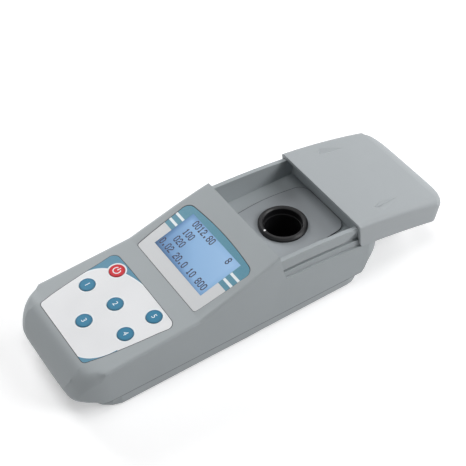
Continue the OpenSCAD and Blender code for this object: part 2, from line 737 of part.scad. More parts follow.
module cell_holder() {
    color(black)
    difference() {
        union() {
            translate([0, well_y, well_floor_z - 2])
                cylinder(r = holder_r, h = deck_under_z - well_floor_z + 2);
            translate([0, well_y, deck_under_z - flange_t]) cylinder(r = flange_r, h = flange_t);
            // Flat seats for the lamp board and the detector board
            translate([-7, well_y - holder_r - 3, beam_z - 7]) cube([14, 8, 14]);
            translate([holder_r - 5, well_y - 7, beam_z - 7]) cube([8, 14, 14]);
        }
        translate([0, well_y, well_floor_z]) cylinder(r = cell_r, h = 60, $fn = fine);
        translate([0, well_y, beam_z]) rotate([90, 0, 0]) cylinder(r = beam_port_r, h = holder_r + 5);
        translate([0, well_y - holder_r - 3 + lens_t + 0.2, beam_z]) rotate([90, 0, 0])
            cylinder(r = lens_r + 0.05, h = 10);
        translate([0, well_y, beam_z]) rotate([0, 90, 0]) cylinder(r = beam_port_r, h = holder_r + 5);
        translate([holder_r + 0.5, well_y, beam_z]) rotate([0, 90, 0]) cylinder(r = detector_r + 0.1, h = 10);
        for (a = [45, 135, 225, 315])
            translate([(flange_r - 2.6) * cos(a), well_y + (flange_r - 2.6) * sin(a), deck_under_z - 5])
                cylinder(r = 1.2, h = 6);
    }
}

module lamp_lens() {
    color([0.8, 0.9, 0.95])
    translate([0, well_y - holder_r - 3 + lens_t + 0.2, beam_z])
        rotate([90, 0, 0])
            intersection() {
                cylinder(r = lens_r, h = lens_t);
                translate([0, 0, -6]) sphere(r = 8, $fn = fine);
            }
}

module lamp() {
    color([0.95, 0.93, 0.75])
    translate([0, well_y - holder_r - 3 - 0.3, beam_z])
        rotate([90, 0, 0]) {
            translate([0, 0, lamp_len - 1]) cylinder(r = lamp_r + 0.4, h = 1);
            translate([0, 0, lamp_r]) cylinder(r = lamp_r, h = lamp_len - lamp_r);
            intersection() {
                translate([0, 0, lamp_r]) sphere(r = lamp_r);
                cylinder(r = lamp_r, h = lamp_r);
            }
        }
}

module lamp_board() {
    color(green)
    translate([-8, well_y - holder_r - 3 - 0.3 - lamp_len - board_t, beam_z - 8])
        cube([16, board_t, 16]);
}

module scatter_detector() {
    color([0.2, 0.2, 0.25])
    translate([holder_r + 0.8, well_y, beam_z])
        rotate([0, 90, 0]) {
            cylinder(r = detector_r - 0.5, h = detector_len);
            translate([0, 0, detector_len - 1]) cylinder(r = detector_r, h = 1);
        }
}

module detector_board() {
    color(green)
    translate([holder_r + 0.8 + detector_len, well_y - 8, beam_z - 8])
        cube([board_t, 16, 16]);
}

module optics_screws() {
    color(silver)
    for (a = [45, 135, 225, 315])
        translate([(flange_r - 2.6) * cos(a), well_y + (flange_r - 2.6) * sin(a), deck_under_z - flange_t]) {
            cylinder(r = 0.95, h = optics_screw_top - deck_under_z + flange_t);
            translate([0, 0, -1.4]) cylinder(r = 2, h = 1.4);
        }
}

module main_board() {
    color(green)
    difference() {
        translate([-board_half_w, board_front_y, board_z])
            cube([2 * board_half_w, board_rear_y - board_front_y, board_t]);
        for (p = board_post_places)
            mirrored()
                translate([p[0], p[1], board_z - 1]) cylinder(r = screw_r + 0.15, h = board_t + 2);
    }
}

// Processor, converter, display socket and keypad socket on the main board
board_chips = [[-9, -52, 14, 14, 1.6], [12, -58, 10, 8, 1.4], [-22, -18, 22, 5, 3], [-8, -90, 16, 4, 2.6],
    [14, 4, 9, 9, 5]];

module board_parts() {
    color(black)
    for (c = board_chips)
        translate([c[0], c[1], board_z + board_t]) cube([c[2], c[3], c[4]]);
}

module board_screws() {
    color(silver)
    for (p = board_post_places)
        mirrored()
            translate([p[0], p[1], board_z]) {
                translate([0, 0, -1.6]) cylinder(r = 2.6, h = 1.6);
                cylinder(r = screw_r - 0.05, h = 8);
            }
}

module lcd_slab(grow_w, grow_len, low, high) {
    translate([-lcd_w / 2 - grow_w, -label_len / 2 + lcd_front - grow_len, low])
        cube([lcd_w + 2 * grow_w, lcd_len + 2 * grow_len, high - low]);
}

module display_gasket() {
    color(black)
    on_display()
        difference() {
            lcd_slab(3, 3, -wall - gasket_t, -wall);
            lcd_slab(0.5, 0.5, -wall - gasket_t - 1, 0);
        }
}

module lcd_frame() {
    color(silver)
    on_display()
        difference() {
            lcd_slab(3, 3, -wall - gasket_t - lcd_frame_t, -wall - gasket_t);
            lcd_slab(0, 0, -wall - gasket_t - 1, 0);
            lcd_slab(1.6, 1.6, -wall - gasket_t - lcd_frame_t - 1, -wall - gasket_t - 0.6);
        }
}

module lcd_glass() {
    color([0.55, 0.70, 0.86])
    on_display()
        lcd_slab(1.5, 1.5, -wall - gasket_t - 0.65 - lcd_glass_t, -wall - gasket_t - 0.65);
}

module lcd_backlight() {
    color([0.92, 0.93, 0.9])
    on_display()
        lcd_slab(1.5, 1.5, -wall - gasket_t - lcd_frame_t + 0.05, -wall - gasket_t - 0.7 - lcd_glass_t);
}

module lcd_board() {
    color(green)
    on_display()
        lcd_slab(3, 4, -wall - gasket_t - lcd_frame_t - board_t, -wall - gasket_t - lcd_frame_t);
}

module display_label() {
    color(silver)
    on_display()
        difference() {
            translate([0, 0, -label_recess]) linear_extrude(label_t)
                polygon(panel(label_front, label_rear, label_len, 2, 6, label_bow, 0.3));
            lcd_slab(0, 0, -label_recess - 1, 1);
        }
}

module display_window() {
    color([0.80, 0.88, 0.94])
    on_display()
        lcd_slab(-window_gap, -window_gap, -label_recess, label_t - label_recess);
}

module keypad_overlay() {
    color(silver)
    on_keypad()
        difference() {
            translate([0, 0, -pad_recess]) linear_extrude(pad_t)
                polygon(panel(pad_front, pad_rear, pad_len, 3, 5, 0.4, 0.8));
            for (k = key_places)
                translate([k[1], k[2], -5]) cylinder(r = key_r + key_gap, h = 10);
        }
}

module keypad_circuit() {
    color(green)
    on_keypad()
        translate([-circuit_half_w, -pad_len / 2 + 8, -wall - circuit_t - 0.05])
            cube([2 * circuit_half_w, pad_len - 12, circuit_t]);
}

module key_domes() {
    color(silver)
    on_keypad()
        for (k = key_places)
            translate([k[1], k[2], -wall - 0.05]) {
                cylinder(r = 4, h = 0.2);
                cylinder(r1 = 3.4, r2 = 2, h = dome_h);
            }
}

module key(k) {
    on_keypad()
        translate([k[1], k[2], 0]) {
            translate([0, 0, key_flange_low]) cylinder(r = key_r + flange_over, h = key_flange_t);
            translate([0, 0, key_flange_low]) cylinder(r = key_r, h = key_proud - 0.3 - key_flange_low);
            translate([0, 0, key_proud - 0.3]) cylinder(r1 = key_r, r2 = key_r - 0.3, h = 0.3);
        }
}

module key_power() { color([0.74, 0.10, 0.14]) key(key_places[0]); }
module key_rear_right() { color(teal) key(key_places[1]); }
module key_left() { color(teal) key(key_places[2]); }
module key_right() { color(teal) key(key_places[3]); }
module key_centre() { color(teal) key(key_places[4]); }
module key_front() { color(teal) key(key_places[5]); }

module battery_door() {
    w = bay_half_w + door_lap - door_gap;
    l = bay_half_len + door_lap - door_gap;
    color(grey)
    difference() {
        translate([-w, bay_y - l, belly_z]) cube([2 * w, 2 * l, door_t]);
        // Finger grip grooves
        for (i = [0:4])
            translate([-9, bay_y + l - 12 + i * 2, belly_z - 1]) cube([18, 1, 1.6]);
    }
}

module batteries() {
    color([0.75, 0.76, 0.78])
    for (i = [0:battery_count - 1])
        translate([(i - (battery_count - 1) / 2) * battery_pitch, bay_y, battery_z])
            rotate([i % 2 == 0 ? -90 : 90, 0, 0]) {
                translate([0, 0, -battery_len / 2]) cylinder(r = battery_d / 2, h = battery_len - 1);
                translate([0, 0, battery_len / 2 - 1 - eps]) cylinder(r = 2.7, h = 1 + eps);
            }
}

module battery_springs() {
    color(silver)
    for (i = [0:battery_count - 1])
        translate([(i - (battery_count - 1) / 2) * battery_pitch, bay_y, battery_z])
            rotate([i % 2 == 0 ? -90 : 90, 0, 0])
                translate([0, 0, -bay_half_len + 0.05]) {
                    translate([-5, -5, 0]) cube([10, 10, 0.5]);
                    cylinder(r1 = 4.4, r2 = 2.6, h = bay_half_len - 0.15 - battery_len / 2);
                }
}

module battery_plates() {
    color(silver)
    for (i = [0:battery_count - 1])
        translate([(i - (battery_count - 1) / 2) * battery_pitch, bay_y, battery_z])
            rotate([i % 2 == 0 ? -90 : 90, 0, 0])
                translate([-5, -5, battery_len / 2 + 0.1])
                    cube([10, 10, bay_half_len - 0.15 - battery_len / 2]);
}

module housing_screws() {
    color(silver)
    for (p = housing_screw_places)
        mirrored()
            translate([p[0], p[1], belly_z + 0.6]) {
                difference() {
                    cylinder(r = screw_head_r, h = screw_head_t);
                    translate([-0.5, -1.9, -1]) cube([1, 3.8, 1.8]);
                    translate([-1.9, -0.5, -1]) cube([3.8, 1, 1.8]);
                }
                cylinder(r = screw_r - 0.05, h = part_z + 10 - belly_z);
            }
}

module feet() {
    color([0.12, 0.12, 0.12])
    for (p = foot_places)
        mirrored()
            translate([p[0], p[1], 0]) {
                cylinder(r1 = foot_r - 0.5, r2 = foot_r, h = 0.5);
                translate([0, 0, 0.5]) cylinder(r = foot_r, h = foot_t - 0.5);
            }
}

upper_housing();
lower_housing();
sliding_lid();
well_platform();
well_collar();
cell_holder();
lamp();
lamp_lens();
lamp_board();
scatter_detector();
detector_board();
optics_screws();
main_board();
board_parts();
board_screws();
lcd_frame();
lcd_glass();
lcd_backlight();
lcd_board();
display_gasket();
display_label();
display_window();
keypad_overlay();
keypad_circuit();
key_domes();
key_power();
key_rear_right();
key_left();
key_right();
key_centre();
key_front();
battery_door();
batteries();
battery_springs();
battery_plates();
housing_screws();
feet();
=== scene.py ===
"""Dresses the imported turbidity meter: finishes, printed panels, display, keys, light and camera."""

from __future__ import annotations

import json
import logging
import math
from dataclasses import dataclass
from enum import Enum
from functools import reduce
from typing import Any, Callable, Sequence

import bmesh
import bpy
from bpy.types import Material, Mesh, NodeSocket, Object
from mathutils import Matrix, Vector

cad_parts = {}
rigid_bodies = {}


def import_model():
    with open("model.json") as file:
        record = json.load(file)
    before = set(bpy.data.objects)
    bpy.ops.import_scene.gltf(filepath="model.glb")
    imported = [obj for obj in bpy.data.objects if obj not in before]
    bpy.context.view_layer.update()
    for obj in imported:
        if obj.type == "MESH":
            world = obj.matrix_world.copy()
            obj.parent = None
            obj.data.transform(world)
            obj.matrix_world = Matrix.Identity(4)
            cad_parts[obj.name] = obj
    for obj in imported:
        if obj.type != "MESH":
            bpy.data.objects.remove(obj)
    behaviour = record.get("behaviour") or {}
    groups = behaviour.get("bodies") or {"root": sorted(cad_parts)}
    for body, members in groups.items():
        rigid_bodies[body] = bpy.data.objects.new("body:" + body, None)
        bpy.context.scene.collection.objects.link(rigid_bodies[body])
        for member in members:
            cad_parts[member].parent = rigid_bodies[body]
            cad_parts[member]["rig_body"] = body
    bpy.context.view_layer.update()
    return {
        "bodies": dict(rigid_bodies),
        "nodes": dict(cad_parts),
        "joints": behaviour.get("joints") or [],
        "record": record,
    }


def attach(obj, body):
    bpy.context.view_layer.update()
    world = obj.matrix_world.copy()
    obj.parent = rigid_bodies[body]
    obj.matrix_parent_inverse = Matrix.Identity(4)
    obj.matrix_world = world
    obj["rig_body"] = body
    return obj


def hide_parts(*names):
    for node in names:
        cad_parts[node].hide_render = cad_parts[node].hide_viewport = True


LOG = logging.getLogger("turbidity_meter")
MM = 0.001
Colour = tuple[float, float, float]


class Slot(Enum):
    """The record's material slots."""

    CASE = "grey_housing"
    BLACK = "black_plastic"
    DARK = "dark_plastic"
    DISPLAY = "display"
    LABEL = "printed_label"
    OVERLAY = "silver_overlay"
    RED = "red_key"
    TEAL = "teal_key"
    WHITE = "white_plastic"
    RUBBER = "rubber"


class Crease(Enum):
    """How far an edge may turn, in degrees, before it shows as a crease."""

    BROAD = 5.0
    PLAIN = 24.0
    ROUND = 34.0


def linear(r: int, g: int, b: int) -> Colour:
    """Turns an 8-bit display colour into the linear colour that shaders take."""
    shares = (v / 255 for v in (r, g, b))
    return tuple(s / 12.92 if s <= 10 / 255 else ((s + 0.055) / 1.055) ** 2.4 for s in shares)


def shade(colour: Colour, factor: float) -> Colour:
    """A colour made darker or lighter, at most white."""
    return tuple(min(1.0, c * factor) for c in colour)


def placed(name: str, data: Any) -> Object:
    """Adds an object to the scene.

    Args:
        name: The object's name.
        data: Its mesh, curve, lamp or camera.

    Returns:
        The new object.
    """
    made = bpy.data.objects.new(name, data)
    bpy.context.scene.collection.objects.link(made)
    return made


def aimed(name: str, data: Any, eye: Sequence[float], aim: Sequence[float]) -> Object:
    """Adds a lamp or camera that looks at a point.

    Args:
        name: The object's name.
        data: Its lamp or camera.
        eye: Where it stands, in metres.
        aim: The point that it looks at.

    Returns:
        The new object.
    """
    made = placed(name, data)
    made.location = eye
    made.rotation_mode = "QUATERNION"
    made.rotation_quaternion = (Vector(aim) - Vector(eye)).to_track_quat("-Z", "Y")
    return made


def baked(piece: Object) -> Mesh:
    """The plain mesh that an object's modifiers leave."""
    return bpy.data.meshes.new_from_object(piece.evaluated_get(bpy.context.evaluated_depsgraph_get()))


@dataclass(frozen=True)
class Panel:
    """A tilted plane on the case, with its own millimetre coordinates."""

    origin: tuple[float, float, float]
    tilt: float

    def at(self, x: float, v: float, up: float) -> Vector:
        """A point on the panel.

        Args:
            x: Millimetres across.
            v: Millimetres up the slope.
            up: Millimetres out of the panel.

        Returns:
            The point in metres.
        """
        c, s = math.cos(math.radians(self.tilt)), math.sin(math.radians(self.tilt))
        ox, oy, oz = self.origin
        return Vector((ox + x, oy + v * c - up * s, oz + v * s + up * c)) * MM

    def matrix(self, x: float, v: float, up: float) -> Matrix:
        """The matrix that puts a flat shape, drawn in millimetres, on the panel."""
        turn = Matrix.Rotation(math.radians(self.tilt), 4, "X")
        return Matrix.Translation(self.at(x, v, up)) @ turn @ Matrix.Scale(MM, 4)

    def slope(self, y: Any) -> Any:
        """Millimetres up the slope at a Y, which is a number or a socket."""
        return (y - self.origin[1]) / math.cos(math.radians(self.tilt))

    def height(self, y: float) -> float:
        """The panel's height at a Y, in millimetres."""
        return self.origin[2] + (y - self.origin[1]) * math.tan(math.radians(self.tilt))


@dataclass(frozen=True)
class Key:
    """A key's node, its place on the keypad and its figure. The power key has no figure."""

    node: str
    x: float
    v: float
    figure: str = ""


DISPLAY = Panel((0.0, -24.5, 40.2), 18.0)
KEYPAD = Panel((0.0, -68.7, 37.34), 3.7)
KEYS = (
    Key("key_power", -23.3, 23.1), Key("key_rear_right", 23.3, 23.1, "5"), Key("key_left", -24.4, 1.8, "1"),
    Key("key_right", 24.4, 1.8, "4"), Key("key_centre", 0.0, 8.5, "2"), Key("key_front", 0.0, -14.0, "3"),
)
GLYPHS = {
    "0": "01110 10001 10001 10001 10001 10001 01110",
    "1": "00100 01100 00100 00100 00100 00100 01110",
    "2": "01110 10001 00001 00110 01000 10000 11111",
    "8": "01110 10001 10001 01110 10001 10001 01110",
    ".": "00000 00000 00000 00000 00000 01100 01100",
    " ": "",
}


class Sock:
    """A shader socket that takes part in Python arithmetic."""

    def __init__(self, sheet: "NodeSheet", link: Any) -> None:
        """Keeps the socket and the node sheet it belongs to."""
        self.sheet = sheet
        self.link = link

    def _op(self, operation: str, *values: Any, clamp: bool = False) -> "Sock":
        """Adds a Math node with these inputs; clamp keeps its result between 0 and 1."""
        settings = {"operation": operation, "use_clamp": clamp}
        return self.sheet.node("ShaderNodeMath", settings, dict(enumerate(values)))

    def __add__(self, other: Any) -> "Sock":
        """Adds."""
        return self._op("ADD", self, other)

    def __radd__(self, other: Any) -> "Sock":
        """Adds from the left."""
        return self._op("ADD", other, self)

    def __sub__(self, other: Any) -> "Sock":
        """Takes away."""
        return self._op("SUBTRACT", self, other)

    def __rsub__(self, other: Any) -> "Sock":
        """Takes this from a number."""
        return self._op("SUBTRACT", other, self)

    def __mul__(self, other: Any) -> "Sock":
        """Multiplies."""
        return self._op("MULTIPLY", self, other)

    def __rmul__(self, other: Any) -> "Sock":
        """Multiplies from the left."""
        return self._op("MULTIPLY", other, self)

    def __truediv__(self, other: Any) -> "Sock":
        """Divides."""
        return self._op("DIVIDE", self, other)

    def __pow__(self, other: Any) -> "Sock":
        """Raises to a power."""
        return self._op("POWER", self, other)

    def __abs__(self) -> "Sock":
        """Drops the sign."""
        return self._op("ABSOLUTE", self)

    def least(self, other: Any) -> "Sock":
        """The smaller of two values."""
        return self._op("MINIMUM", self, other)

    def most(self, other: Any) -> "Sock":
        """The larger of two values."""
        return self._op("MAXIMUM", self, other)

    def above(self, edge: float, soft: float) -> "Sock":
        """A mask that goes from 0 to 1 over a soft width, and is a half at the edge."""
        return self._op("ADD", (self - edge) / soft, 0.5, clamp=True)

    def sibling(self, output: str) -> "Sock":
        """Another output of the same node."""
        return Sock(self.sheet, self.link.node.outputs[output])


def distance(x: Sock, y: Sock, centre: tuple[float, float]) -> Sock:
    """How far two coordinates are from a centre."""
    return ((x - centre[0]) ** 2.0 + (y - centre[1]) ** 2.0) ** 0.5


class NodeSheet:
    """A shader tree whose nodes come from one method."""

    def __init__(self, tree: bpy.types.NodeTree) -> None:
        """Keeps the tree."""
        self.tree = tree

    def node(self, kind: str, settings: dict[str, Any], inputs: dict[Any, Any], out: Any = 0) -> Sock:
        """Adds any node.

        Args:
            kind: The node's type.
            settings: Attributes, set before its inputs; "stops" fills a ramp.
            inputs: Values or sockets by input name or number.
            out: The output to return.

        Returns:
            The chosen output.
        """
        made = self.tree.nodes.new(kind)
        for key, value in settings.items():
            if key == "stops":
                ramp = made.color_ramp.elements
                while len(ramp) > 1:
                    ramp.remove(ramp[0])
                ramp[0].position, ramp[0].color = value[0][0], (*value[0][1], 1)
                for place, colour in value[1:]:
                    ramp.new(place).color = (*colour, 1)
            else:
                setattr(made, key, value)
        for key, value in inputs.items():
            self.put(made.inputs[key], value)
        return Sock(self, made.outputs[out])

    def put(self, socket: Any, value: Any) -> None:
        """Links a socket, or sets it to a number or colour.

        Args:
            socket: The socket.
            value: A Sock, a number, a colour or a vector.
        """
        if isinstance(value, Sock):
            self.tree.links.new(value.link, socket)
        elif isinstance(value, (tuple, list)) and len(value) == 3 and socket.type == "RGBA":
            socket.default_value = (*value, 1)
        else:
            socket.default_value = value

    def seen(self) -> Sock:
        """A mask of the rays from the camera, from gloss and through clear pieces."""
        ray = self.node("ShaderNodeLightPath", {}, {}, "Is Camera Ray")
        return ray.most(ray.sibling("Is Glossy Ray")).most(ray.sibling("Is Transmission Ray"))


class Sheet(NodeSheet):
    """One material's node sheet, whose x, y and z are object coordinates in millimetres."""

    def __init__(self, name: str) -> None:
        """Starts a material with a Principled shader.

        Args:
            name: The material's name.
        """
        self.material = bpy.data.materials.new(name)
        self.material.use_nodes = True
        super().__init__(self.material.node_tree)
        self.tree.nodes.clear()
        self.shader = self.tree.nodes.new("ShaderNodeBsdfPrincipled")
        self.output = self.tree.nodes.new("ShaderNodeOutputMaterial")
        self.tree.links.new(self.shader.outputs[0], self.output.inputs[0])
        self.at = self.node("ShaderNodeTexCoord", {}, {}, "Object")
        split = self.node("ShaderNodeSeparateXYZ", {}, {0: self.at})
        self.x, self.y, self.z = (split.sibling(axis) * (1 / MM) for axis in "XYZ")

    def set(self, **values: Any) -> None:
        """Sets the Principled shader's sockets; underscores stand for spaces."""
        for key, value in values.items():
            self.put(self.shader.inputs[key.replace("_", " ")], value)

    def noise(self, scale: float, detail: float = 3.0, rough: float = 0.5) -> Sock:
        """Noise in object space, with features of about 1/scale metres."""
        inputs = {"Vector": self.at, "Scale": scale, "Detail": detail, "Roughness": rough}
        return self.node("ShaderNodeTexNoise", {}, inputs)

    def mix(self, mask: Any, below: Any, over: Any) -> Sock:
        """Mixes two colours by a mask."""
        return self.node("ShaderNodeMix", {"data_type": "RGBA"}, {0: mask, 6: below, 7: over}, 2)

    def bump(self, height: Sock, depth_mm: float, strength: float = 1.0, edge_mm: float = 0.0) -> Sock:
        """A bump, over rounded edges where a radius is given.

        Args:
            height: The pattern, 0 to 1.
            depth_mm: The pattern's depth.
            strength: How much of it shows.
            edge_mm: Radius that sharp edges seem to have.

        Returns:
            The normal.
        """
        inputs = {"Height": height, "Distance": depth_mm * MM, "Strength": strength}
        if edge_mm:
            inputs["Normal"] = self.node("ShaderNodeBevel", {"samples": 6}, {"Radius": edge_mm * MM})
        return self.node("ShaderNodeBump", {}, inputs)


@dataclass(frozen=True)
class Finish:
    """A named finish. Each kind paints its own colour, gloss and relief."""

    name: str

    def make(self) -> Material:
        """Builds the material.

        Returns:
            The painted material.
        """
        sheet = Sheet(self.name)
        self.paint(sheet)
        return sheet.material

    def paint(self, sheet: Sheet) -> None:
        """Paints the material's sheet."""
        raise NotImplementedError(self.name)


@dataclass(frozen=True)
class MouldedPlastic(Finish):
    """Moulded plastic with a fine spark-eroded grain and slight handling marks."""

    colour: Colour
    roughness: float = 0.52
    grain_mm: float = 0.035
    edge_mm: float = 0.45
    mottle: float = 0.05
    low_z: float = 4.0
    low_soft: float = 8.0
    line_z: float = 0.0
    line_half: float = 0.32
    line_soft: float = 0.2

    def paint(self, sheet: Sheet) -> None:
        """Paints mottled plastic, darker near the table and along a parting line.

        Args:
            sheet: The material's sheet.
        """
        grain = sheet.noise(scale=1700.0, detail=2.0, rough=0.55)
        cloud = sheet.noise(scale=32.0, detail=3.0, rough=0.6)
        rub = sheet.noise(scale=190.0, detail=4.0, rough=0.65)
        dark, light = shade(self.colour, 1 - self.mottle), shade(self.colour, 1 + self.mottle)
        colour = sheet.mix(cloud * 0.7 + grain * 0.3, dark, light)
        low = 1.0 - sheet.z.above(self.low_z, self.low_soft)
        colour = sheet.mix(low * 0.10, colour, shade(self.colour, 0.7))
        if self.line_z:
            line = 1.0 - abs(sheet.z - self.line_z).above(self.line_half, self.line_soft)
            colour = sheet.mix(line * 0.8, colour, shade(self.colour, 0.18))
        sheet.set(Base_Color=colour, Roughness=self.roughness - 0.06 + rub * 0.12)
        sheet.set(Normal=sheet.bump(grain, self.grain_mm, 0.5, self.edge_mm), Specular_IOR_Level=0.34)


@dataclass(frozen=True)
class Metal(Finish):
    """Plated or turned metal with fine scratches."""

    colour: Colour
    roughness: float = 0.3

    def paint(self, sheet: Sheet) -> None:
        """Paints scratched metal.

        Args:
            sheet: The material's sheet.
        """
        scratch = sheet.noise(scale=900.0, detail=4.0, rough=0.7)
        sheet.set(Base_Color=sheet.mix(scratch, shade(self.colour, 0.85), self.colour))
        sheet.set(Metallic=1.0, Roughness=self.roughness + scratch * 0.15)
        sheet.set(Normal=sheet.bump(scratch, 0.02, 0.3))


@dataclass(frozen=True)
class CircuitBoard(Finish):
    """Green lacquer over copper tracks."""

    lacquer: Colour = (0.012, 0.11, 0.045)
    track: Colour = (0.03, 0.2, 0.085)

    def paint(self, sheet: Sheet) -> None:
        """Paints lacquered tracks.

        Args:
            sheet: The material's sheet.
        """
        inputs = {"Vector": sheet.at, "Scale": 260.0, "Mortar Size": 0.03}
        tracks = sheet.node("ShaderNodeTexBrick", {"offset": 0.37}, inputs, 1)
        sheet.set(Base_Color=sheet.mix(tracks, self.lacquer, self.track))
        sheet.set(Roughness=0.3 + sheet.noise(scale=300.0) * 0.1, Coat_Weight=0.4)
        sheet.set(Normal=sheet.bump(tracks, 0.03, 0.6))


@dataclass(frozen=True)
class Clear(Finish):
    """Clear moulded plastic or glass."""

    colour: Colour
    roughness: float = 0.05

    def paint(self, sheet: Sheet) -> None:
        """Paints clear plastic."""
        sheet.set(Base_Color=self.colour, Roughness=self.roughness + sheet.noise(scale=120.0) * 0.05)
        sheet.set(Transmission_Weight=0.9, IOR=1.49)


@dataclass(frozen=True)
class DisplayPanel(Finish):
    """The printed display label: teal behind, pale in front, with white stripes at the sides."""

    start: float = 0.9
    length: float = 45.0
    teal_share: float = 0.475
    stripe_shares: tuple[float, float] = (0.375, 0.25)
    stripe_half: float = 0.021
    stripe_x: float = 28.2
    soft: float = 0.006
    teal: Colour = linear(58, 132, 156)
    pale: Colour = linear(214, 216, 218)
    white: Colour = linear(240, 247, 250)

    def paint(self, sheet: Sheet) -> None:
        """Paints the label by the share of its length, from its rear edge.

        Args:
            sheet: The material's sheet.
        """
        share = 1.0 - (DISPLAY.slope(sheet.y) - self.start) / self.length
        one, other = (
            1.0 - abs(share - place).above(self.stripe_half, self.soft) for place in self.stripe_shares)
        beside = abs(sheet.x).above(self.stripe_x, 0.3)
        colour = sheet.mix(1.0 - share.above(self.teal_share, self.soft), self.pale, self.teal)
        colour = sheet.mix((one + other) * beside, colour, self.white)
        speck = sheet.noise(scale=900.0, detail=2.0)
        sheet.set(Base_Color=sheet.mix(speck * 0.12, colour, shade(self.pale, 0.8)))
        sheet.set(Roughness=0.34 + speck * 0.08, Coat_Weight=0.25)
        sheet.set(Normal=sheet.bump(speck, 0.01, 0.3, 0.15))


@dataclass(frozen=True)
class Bow:
    """A rounded corner of the keypad's silver field, in the keypad's millimetres."""

    x: float
    v: float
    across: float
    along: float
    power: float

    def reach(self, out: Sock, on: Sock) -> Sock:
        """How near the bow a place is, from its millimetres across and along; 1 is on the bow."""
        return (out.most(0.0) / self.across) ** self.power + (on.most(0.0) / self.along) ** self.power


@dataclass(frozen=True)
class KeypadPanel(Finish):
    """The printed keypad overlay: satin silver with teal corners and pale rings round the keys."""

    rear_left: Bow = Bow(21.3, 3.6, 56.0, 29.0, 2.35)
    front_right: Bow = Bow(13.4, -8.5, 18.6, 23.8, 2.25)
    front_fade: tuple[float, float] = (-7.5, 2.0)
    border: float = 0.955
    ring_r: float = 6.5
    teal: Colour = linear(52, 124, 152)
    silver: Colour = linear(227, 228, 230)
    white: Colour = linear(238, 242, 245)

    def paint(self, sheet: Sheet) -> None:
        """Paints the silver field with painted sheen, its white border, the teal corners and the rings.

        Args:
            sheet: The material's sheet.
        """
        x, v = sheet.x, KEYPAD.slope(sheet.y)
        rear = self.rear_left.reach(self.rear_left.x - x, v - self.rear_left.v)
        front = self.front_right.reach(x - self.front_right.x, self.front_right.v - v)
        cover = rear.most(front * (1.0 - v.above(*self.front_fade)))
        # painted sheen: broad lighter and darker patches of painted reflection on the silver
        painted_sheen = sheet.noise(scale=22.0, detail=2.0)
        colour = sheet.mix(painted_sheen, shade(self.silver, 0.9), shade(self.silver, 1.12))
        colour = sheet.mix(cover.above(self.border, 0.02), colour, self.white)
        colour = sheet.mix(cover.above(1.0, 0.02), colour, self.teal)
        nearest = reduce(Sock.least, [distance(x, v, (key.x, key.v)) for key in KEYS])
        colour = sheet.mix(1.0 - nearest.above(self.ring_r, 0.25), colour, self.white)
        fleck = sheet.noise(scale=1500.0, detail=2.0)
        sheet.set(Base_Color=sheet.mix(fleck * 0.1, colour, shade(self.silver, 0.8)))
        sheet.set(Roughness=0.33 + fleck * 0.1, Coat_Weight=0.2)
        sheet.set(Normal=sheet.bump(sheet.noise(scale=45.0, detail=2.0), 0.12, 0.35, 0.15))


@dataclass(frozen=True)
class DisplayGlass(Finish):
    """The lit liquid-crystal field, with painted light in the middle and towards its rear right, and
    painted shade at its rim and towards its front left.
    """

    middle: float = 26.6
    half_w: float = 28.0
    half_len: float = 16.0
    rim: float = 2.0
    rim_soft: float = 4.0
    glow: float = 0.10
    stops: tuple[tuple[float, Colour], ...] = (
        (0.0, linear(46, 84, 124)), (0.3, linear(92, 136, 184)),
        (0.6, linear(138, 180, 222)), (1.0, linear(156, 194, 232)))

    def paint(self, sheet: Sheet) -> None:
        """Paints the lit field, with a painted highlight towards its rear right and painted shade towards
        its front left and at its rim.

        Args:
            sheet: The material's sheet.
        """
        x, v = sheet.x, DISPLAY.slope(sheet.y) - self.middle
        across = (x + self.half_w) / (2 * self.half_w)
        along = (v + self.half_len) / (2 * self.half_len)
        inside_x = 1.0 - abs(x).above(self.half_w - self.rim, self.rim_soft)
        inside_v = 1.0 - abs(v).above(self.half_len - self.rim, self.rim_soft)
        # painted light and shade: the ramp runs from painted shade at the front left to a painted highlight
        # at the rear right, and the rim is painted darker
        light = (across * 0.55 + along * 0.45) * 0.75 + inside_x * inside_v * 0.25
        colour = sheet.node("ShaderNodeValToRGB", {"stops": self.stops}, {0: light})
        sheet.set(Base_Color=colour, Roughness=0.24, Coat_Weight=0.5)
        sheet.set(Emission_Color=colour, Emission_Strength=self.glow)


@dataclass(frozen=True)
class KeyCap(Finish):
    """A satin key cap, painted lighter in its middle and with painted shade towards its rim."""

    colour: Colour
    centre: tuple[float, float]
    radius: float = 5.3
    rim: float = 0.9

    def paint(self, sheet: Sheet) -> None:
        """Paints the cap, with painted light in its middle and painted shade towards its rim.

        Args:
            sheet: The material's sheet.
        """
        # painted shade towards the cap's rim and painted light in its middle, with random tone from the
        # cloud
        rim = distance(sheet.x, sheet.y, self.centre).above(self.radius - self.rim, 1.6)
        cloud = sheet.noise(scale=260.0, detail=3.0)
        colour = sheet.mix(rim * 0.75 + cloud * 0.2, shade(self.colour, 1.18), shade(self.colour, 0.72))
        sheet.set(Base_Color=colour, Roughness=0.36 + cloud * 0.08)
        sheet.set(Coat_Weight=0.06, Specular_IOR_Level=0.3)
        sheet.set(Normal=sheet.bump(cloud, 0.03, 0.3, 0.25))


@dataclass(frozen=True)
class Ink(Finish):
    """Flat printed ink."""

    colour: Colour

    def paint(self, sheet: Sheet) -> None:
        """Paints slightly uneven ink."""
        speck = sheet.noise(scale=2500.0) * 0.2
        sheet.set(Base_Color=sheet.mix(speck, self.colour, shade(self.colour, 0.85)), Roughness=0.45)


